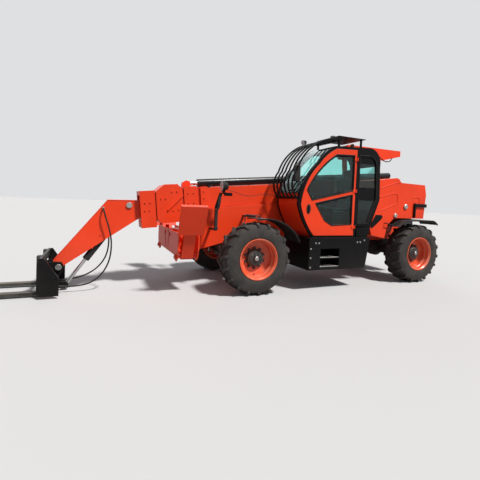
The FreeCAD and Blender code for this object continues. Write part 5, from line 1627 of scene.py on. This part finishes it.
@dataclass
class CabInside:
    """The padded seat, steering wheel, console, levers and display, in place of the plain ones."""

    middle: float = 0.755
    cushions: Sequence[tuple[str, Point, Point, float, float, int]] = (
        ("seat_cushion", (-1.770, 0.755, 1.400), (0.48, 0.47, 0.11), 0.0, 0.012, 4),
        ("seat_backrest", (-2.040, 0.755, 1.760), (0.60, 0.44, 0.10), -80.0, 0.012, 4),
        ("seat_headrest", (-2.105, 0.755, 2.130), (0.16, 0.26, 0.07), -80.0, 0.008, 0))
    channel_depth: float = 0.006
    pan: Sequence[Point] = ((-1.99, 1.18), (-1.60, 1.18), (-1.56, 1.34), (-2.02, 1.34))
    arm_side: float = 0.285
    console_side: Sequence[Point] = (
        (-1.160, 0.952), (-1.045, 0.952), (-0.940, 1.200), (-0.860, 1.480), (-0.880, 1.560),
        (-1.080, 1.600), (-1.120, 1.560), (-1.060, 1.400))
    wheel_hub: Point = (ahead(-1.270), 0.755, 1.640)
    wheel_lean: float = -28.0
    wheel_radius: float = 0.190
    spokes: Point = (0.5, 2.64, 4.71)
    knob: Sequence[Point] = ((0.0, 0.0), (0.020, 0.004), (0.024, 0.04), (0.020, 0.085), (0.0, 0.095))
    pedal: Sequence[Point] = ((-1.20, 1.00), (-1.10, 1.09), (-1.11, 1.10), (-1.21, 1.01))
    pedal_side: float = 0.12
    lining: Sequence[Point] = ((-2.34, 0.462, 2.505), (-1.56, 1.048, 2.520))

    def build(self) -> None:
        """Furnish the cab."""
        self.seat()
        self.console()
        self.steering_wheel()
        self.levers()
        self.trim()

    def cushion(self, name: str, centre: Point, size: Point, lean: float, crown: float,
                channels: int) -> None:
        """A padded seat piece: a crowned block with pulled-in sides and sewn channels.

        Args:
            name: The piece's name.
            centre: Its middle.
            size: Its length, width and thickness before its turn.
            lean: How far it is turned about Y, in degrees.
            crown: How far its face stands up in the middle.
            channels: How many sewn channels cross its face.
        """
        shape = Shape().leaning_block((0.0, 0.0, 0.0), (1.0, 1.0, 1.0), Matrix.Identity(3))
        bmesh.ops.subdivide_edges(shape.mesh, edges=shape.mesh.edges[:], cuts=15, use_grid_fill=True)
        for vert in shape.mesh.verts:
            u, v, w = (2 * part for part in vert.co)
            edge = 1.0 - 0.10 * (abs(u) ** 6 + abs(v) ** 6)
            round_off = (1.0 - 0.22 * abs(w) ** 4 * (abs(v) ** 8)) * (1.0 - 0.10 * abs(w) ** 4 * abs(u) ** 8)
            lift = crown * (1 - u * u) * (1 - v * v) if w > 0 else 0.0
            across = (u + 1) / 2 * channels
            near = max(0.0, 1.0 - abs(across - round(across)) * 8.0)
            groove = self.channel_depth * near if w > 0.9 and channels else 0.0
            vert.co = Vector((u * size[0] / 2 * edge, v * size[1] / 2 * round_off,
                              w * size[2] / 2 * (1.0 - 0.06 * (u ** 8 + v ** 8)) + lift - groove))
        turn = Matrix.Rotation(math.radians(lean), 4, "Y")
        place = Matrix.Translation(placed([centre])[0]) @ turn
        bmesh.ops.transform(shape.mesh, matrix=place, verts=shape.mesh.verts)
        piece = shape.hand_over(name, "root", FINISHES.seat)
        modifier = piece.modifiers.new("Soft", "SUBSURF")
        modifier.levels = modifier.render_levels = 1

    def seat(self) -> None:
        """The seat, its arm rests and the box under it."""
        mid = self.middle
        for cushion in self.cushions:
            self.cushion(*cushion)
        base = Shape().block((ahead(-1.980), mid - 0.18, 0.952), (ahead(-1.620), mid + 0.18, 1.18))
        base.plate(placed(self.pan), mid - 0.21, mid + 0.21)
        for y in (mid + self.arm_side, mid - self.arm_side):
            base.block((ahead(-2.05), y - 0.03, 1.58), (ahead(-1.72), y + 0.03, 1.62))
            base.rod((ahead(-2.03), y, 1.36), (ahead(-2.03), y, 1.59), 0.014, 12)
        seat_base = base.hand_over("seat_base", "root", FINISHES.cabin, 0.008)
        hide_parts("cab_interior")

    def console(self) -> None:
        """The console under the steering wheel and the one beside the seat."""
        console = Shape().plate(placed(self.console_side), self.middle - 0.26, self.middle + 0.26)
        console.block((ahead(-2.02), self.middle - 0.30, 0.952), (ahead(-1.35), self.middle - 0.245, 1.30))
        console.hand_over("console", "root", FINISHES.cabin, 0.010)

    def on_wheel(self, x: float, y: float, z: float) -> Vector:
        """A point of the leaning steering wheel, from its hub."""
        lean = Matrix.Rotation(math.radians(self.wheel_lean), 3, "Y")
        return Vector(self.wheel_hub) + lean @ Vector((x, y, z))

    def steering_wheel(self) -> None:
        """The wheel with its rim, spokes, hub, column and knob."""
        wide, reach = self.wheel_radius, self.wheel_radius - 0.003
        wheel = Shape().tube([self.on_wheel(wide * math.cos(angle), wide * math.sin(angle), 0.0)
                              for angle in (math.tau * step / 48 for step in range(49))], 0.015, 12)
        for angle in self.spokes:
            tip = self.on_wheel(reach * math.cos(angle), reach * math.sin(angle), 0)
            wheel.tube([self.on_wheel(0, 0, -0.02), tip], 0.010, 8)
        wheel.rod(self.on_wheel(0, 0, -0.045), self.on_wheel(0, 0, 0.012), 0.045)
        wheel.rod(self.on_wheel(0, 0, -0.36), self.on_wheel(0, 0, -0.04), 0.028, 16)
        wheel.rod(self.on_wheel(-0.15, 0.11, 0.0), self.on_wheel(-0.15, 0.11, 0.06), 0.016, 16)
        wheel.hand_over("steering_wheel", "root", FINISHES.plastic)

    def levers(self) -> None:
        """The levers on both sides of the seat, and the pedals."""
        levers = Shape()
        for y in (self.middle + self.arm_side, self.middle - self.arm_side):
            levers.tube(placed([(-1.76, y, 1.60), (-1.75, y, 1.68), (-1.73, y, 1.74)]), 0.011, 10)
            levers.lathe(self.knob, (ahead(-1.73), y, 1.72), Axis.Z, 16)
        for y in (self.middle - self.pedal_side, self.middle + self.pedal_side):
            levers.plate(placed(self.pedal), y - 0.04, y + 0.04)
            levers.rod((ahead(-1.11), y, 1.08), (ahead(-1.05), y, 1.03), 0.008, 10)
        levers.hand_over("levers_and_pedals", "root", FINISHES.plastic)

    def trim(self) -> None:
        """The display on its stalk and the roof's lining."""
        y = self.middle - 0.20
        screen = Shape().leaning_block((ahead(-0.99), y, 1.72), (0.03, 0.19, 0.13),
                                       Matrix.Rotation(math.radians(-15), 3, "Y"))
        screen.rod((ahead(-0.985), y, 1.57), (ahead(-0.985), y, 1.70), 0.010, 12)
        screen.hand_over("cab_display", "root", FINISHES.plastic, 0.004)
        Shape().block(*placed(self.lining)).hand_over("roof_lining", "root", FINISHES.cabin, 0.004)


@dataclass
class GuardLamps:
    """Work lamps on the guard bars."""

    places: Sequence[Point] = ((-1.040, 0.750, 2.620), (-1.690, 0.750, 2.780))
    way: Point = (0.88, 0.0, -0.47)

    def build(self) -> None:
        """Make two round work lamps on the guard."""
        shells, lenses = Shape(), Shape()
        way = Vector(self.way)
        for place in placed(self.places):
            centre = Vector(place)
            shells.rod(centre - way * 0.045, centre + way * 0.020, 0.028, 28, 0.055)
            shells.rod(centre - Vector((0.01, 0.0, 0.075)), centre - Vector((0.01, 0.0, 0.03)), 0.010, 12)
            lenses.rod(centre + way * 0.0205, centre + way * 0.026, 0.050, 28)
        shells.hand_over("work_lamp_shells", "root", FINISHES.plastic, 0.002)
        lenses.hand_over("work_lamp_lenses", "root", FINISHES.clear_lens)


@dataclass
class StepBox:
    """Bolts and grips of the step box."""

    repeats: Repeats
    face: float = 1.190
    opening: Point = (-1.600, -1.190)
    treads: Point = (0.425, 0.585)
    bolts: Sequence[Point] = (
        (-1.083, 0.838), (-1.150, 0.838), (-2.004, 0.846), (-2.070, 0.846), (-0.985, 0.741), (-0.985, 0.584),
        (-0.985, 0.420), (-2.165, 0.880))

    def build(self) -> None:
        """Make the bolts on the face and the grips and edges of the treads."""
        bolts = [((x, self.face, z), OUTWARDS[1]) for x, z in placed(self.bolts)]
        self.repeats.bolts("step_box_bolts", "root", bolts, FINISHES.steel, 0.022, 0.009)
        rear, front = self.opening
        grips = [(ahead(rear + 0.035 + 0.0425 * column), self.face - 0.045 - 0.05 * row, z + 0.002)
                 for z in self.treads for column in range(9) for row in range(3)]
        self.repeats.grip.spread("tread_grips", "root", FINISHES.steel, plain_mesh("tread_grips", grips))
        edges = [placed([(rear + 0.002, self.face - 0.012, z), (front - 0.002, self.face - 0.012, z)])
                 for z in self.treads]
        self.repeats.strips("tread_edges", "root", edges, FINISHES.steel)


@dataclass
class RearBodies:
    """Caps, strap, duct and creases on the left rear body."""

    repeats: Repeats
    side: float = 1.050
    caps: Sequence[Point] = ((-3.345, 1.535, 0.052), (-3.071, 1.350, 0.044))
    straps: Sequence[Sequence[Point]] = (
        ((-3.930, 1.050, 1.535), (-3.575, 1.080, 1.605)), ((-3.612, 1.050, 1.320), (-3.575, 1.086, 1.612)))
    duct: Sequence[Point] = (
        (-2.445, 1.180), (-2.560, 1.355), (-2.700, 1.355), (-2.730, 1.325), (-2.720, 1.290), (-2.600, 1.190),
        (-2.480, 1.100), (-2.445, 1.120))
    creases: Sequence[Sequence[Point]] = (
        ((-2.640, 1.700), (-2.705, 1.721), (-3.020, 1.790), (-3.085, 1.788), (-3.112, 1.755), (-3.115, 1.592),
         (-2.640, 1.432)),
        ((-2.640, 1.868), (-3.029, 1.992), (-3.154, 2.008)),
        ((-3.542, 1.725), (-3.690, 1.738), (-3.735, 1.712), (-3.740, 1.625)))

    def build(self) -> None:
        """Make the caps, the strap, the duct and the creases of the stamped panels."""
        caps = Shape()
        for x, z, radius in placed(self.caps):
            cap = [(0.0, -0.004), (radius, -0.004), (radius, 0.018), (radius * 0.8, 0.028), (0.0, 0.030)]
            caps.lathe(cap, (x, self.side, z), Axis.Y, 32)
        caps.hand_over("tank_caps", "root", FINISHES.steel, 0.001)
        strap = Shape()
        for ends in self.straps:
            strap.block(*placed(ends))
        strap.hand_over("cover_strap", "root", FINISHES.black, 0.004)
        Shape().plate(placed(self.duct), self.side - 0.002, self.side + 0.012).hand_over(
            "cab_duct", "root", FINISHES.black, 0.003)
        lines = [[(x, self.side, z) for x, z in placed(crease)] for crease in self.creases]
        self.repeats.strips("panel_creases", "root", lines, FINISHES.orange, 0.009)


@dataclass
class EngineHood:
    """Grille slats and latches on the right side."""

    repeats: Repeats
    outer: float = -1.150
    first_slot: float = -1.145
    slots: int = 10
    pitch: float = 0.110
    width: float = 0.070
    low_slat: float = 1.075
    slat_rise: float = 0.024
    slat_rows: int = 11
    latches: Point = (-1.10, -2.17)

    def build(self) -> None:
        """Make the slats behind the hood's slots and the latches."""
        points = [(ahead(self.first_slot - self.pitch * index), self.outer + 0.012,
                   self.low_slat + self.slat_rise * row)
                  for index in range(self.slots) for row in range(self.slat_rows)]
        self.repeats.slat.spread(
            "hood_slats", "engine_hood", FINISHES.black, plain_mesh("hood_slats", points),
            {"Length": self.width + 0.008, "Depth": 0.022, "Thickness": 0.0022, "Lean": -0.7})
        latches = Shape()
        for x in map(ahead, self.latches):
            latches.block((x - 0.045, self.outer - 0.010, 0.985), (x + 0.045, self.outer + 0.001, 1.02))
        latches.hand_over("hood_latches", "engine_hood", FINISHES.black, 0.004)


@dataclass
class FrontLamps:
    """Lenses, bowls and arms of the round front lamps."""

    front: float = ahead(0.475)
    side: float = 0.650
    height: float = 1.750
    bowl: Sequence[Point] = (
        (0.0, -0.105), (0.050, -0.100), (0.064, -0.070), (0.088, -0.012), (0.092, 0.004), (0.086, 0.008),
        (0.0, 0.006))
    arm: Sequence[Point] = (
        (0.470, 1.635), (0.520, 1.635), (0.545, 1.400), (0.585, 1.330), (0.585, 1.040), (0.535, 1.040),
        (0.535, 1.340), (0.505, 1.390))
    foot: Point = (ahead(0.560), 1.040)

    def build(self) -> None:
        """Make the lenses, and the bowls with their arms."""
        lenses, bowls = Shape(), Shape()
        for sign in SIDES:
            x, y, z = self.front, sign * self.side, self.height
            lenses.rod((x + 0.006, y, z), (x + 0.012, y, z), 0.080, 36)
            bowls.lathe(self.bowl, (x, y, z), Axis.X, 36)
            bowls.plate(placed(self.arm), y, sign * (self.side + 0.010))
            bowls.rod((self.foot[0], sign * (self.side - 0.002), self.foot[1]),
                      (self.foot[0], sign * (self.side + 0.014), self.foot[1]), 0.034, 28)
        lenses.hand_over("round_lamp_lenses", "root", FINISHES.clear_lens, 0.002)
        bowls.hand_over("round_lamp_backs", "root", FINISHES.plastic, 0.002)


HOSES = (
    Hose("hose_left", (
        (2.320, 0.110, 1.314), (2.320, 0.170, 1.314), (2.309, 0.208, 1.258), (2.282, 0.213, 1.160),
        (2.232, 0.215, 1.010), (2.190, 0.215, 0.810), (2.190, 0.215, 0.610), (2.231, 0.215, 0.418),
        (2.331, 0.215, 0.245), (2.488, 0.215, 0.126), (2.695, 0.215, 0.092), (2.908, 0.215, 0.104),
        (3.1148, 0.215, 0.104)), 2.0),
    Hose("hose_right", (
        (2.290, -0.110, 1.250), (2.290, -0.170, 1.250), (2.279, -0.208, 1.194), (2.255, -0.211, 1.100),
        (2.228, -0.213, 0.950), (2.213, -0.213, 0.770), (2.224, -0.213, 0.584), (2.283, -0.213, 0.413),
        (2.400, -0.213, 0.270), (2.560, -0.213, 0.170), (2.740, -0.213, 0.122), (2.928, -0.213, 0.108),
        (3.1148, -0.213, 0.108)), 1.849))

LINES = (
    Line("tail_hose", "boom_outer", 0.022, placed((
        (-3.50, 0.150, 2.660), (-3.56, 0.152, 2.615), (-3.68, 0.154, 2.560), (-3.81, 0.152, 2.570),
        (-3.875, 0.150, 2.620), (-3.885, 0.150, 2.670)))),
    Line("lamp_cable_left", "root", 0.009, placed((
        (0.42, 0.640, 1.690), (0.34, 0.560, 1.690), (0.16, 0.430, 1.675), (-0.09, 0.400, 1.600),
        (-0.34, 0.400, 1.640), (-0.55, 0.405, 1.680), (-0.725, 0.422, 1.620)))),
    Line("lamp_cable_right", "root", 0.008, placed((
        (0.44, -0.640, 1.700), (0.40, -0.560, 1.660), (0.30, -0.440, 1.600), (0.20, -0.380, 1.480),
        (0.10, -0.362, 1.410), (0.0, -0.356, 1.400)))))


def main() -> None:
    """Dress the frame and build every sub-assembly in order."""
    logging.basicConfig(level=logging.INFO, format="%(name)s: %(message)s")
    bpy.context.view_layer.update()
    repeats = Repeats()
    for assembly in (
            Studio(), *HOSES, *LINES, Dressing(), ThirdHead(BoomDetails(repeats)), Fenders(),
            Wheels(repeats), BoomDetails(repeats), GooseneckDetails(repeats), StabilizerDetails(repeats),
            CabShell(repeats), GuardLamps(), StepBox(repeats), RearBodies(repeats), EngineHood(repeats),
            FrontLamps(), CabInside()):
        assembly.build()
        log.info("%s is built", type(assembly).__name__)
    bpy.context.view_layer.update()


if __name__ == "__main__":
    main()
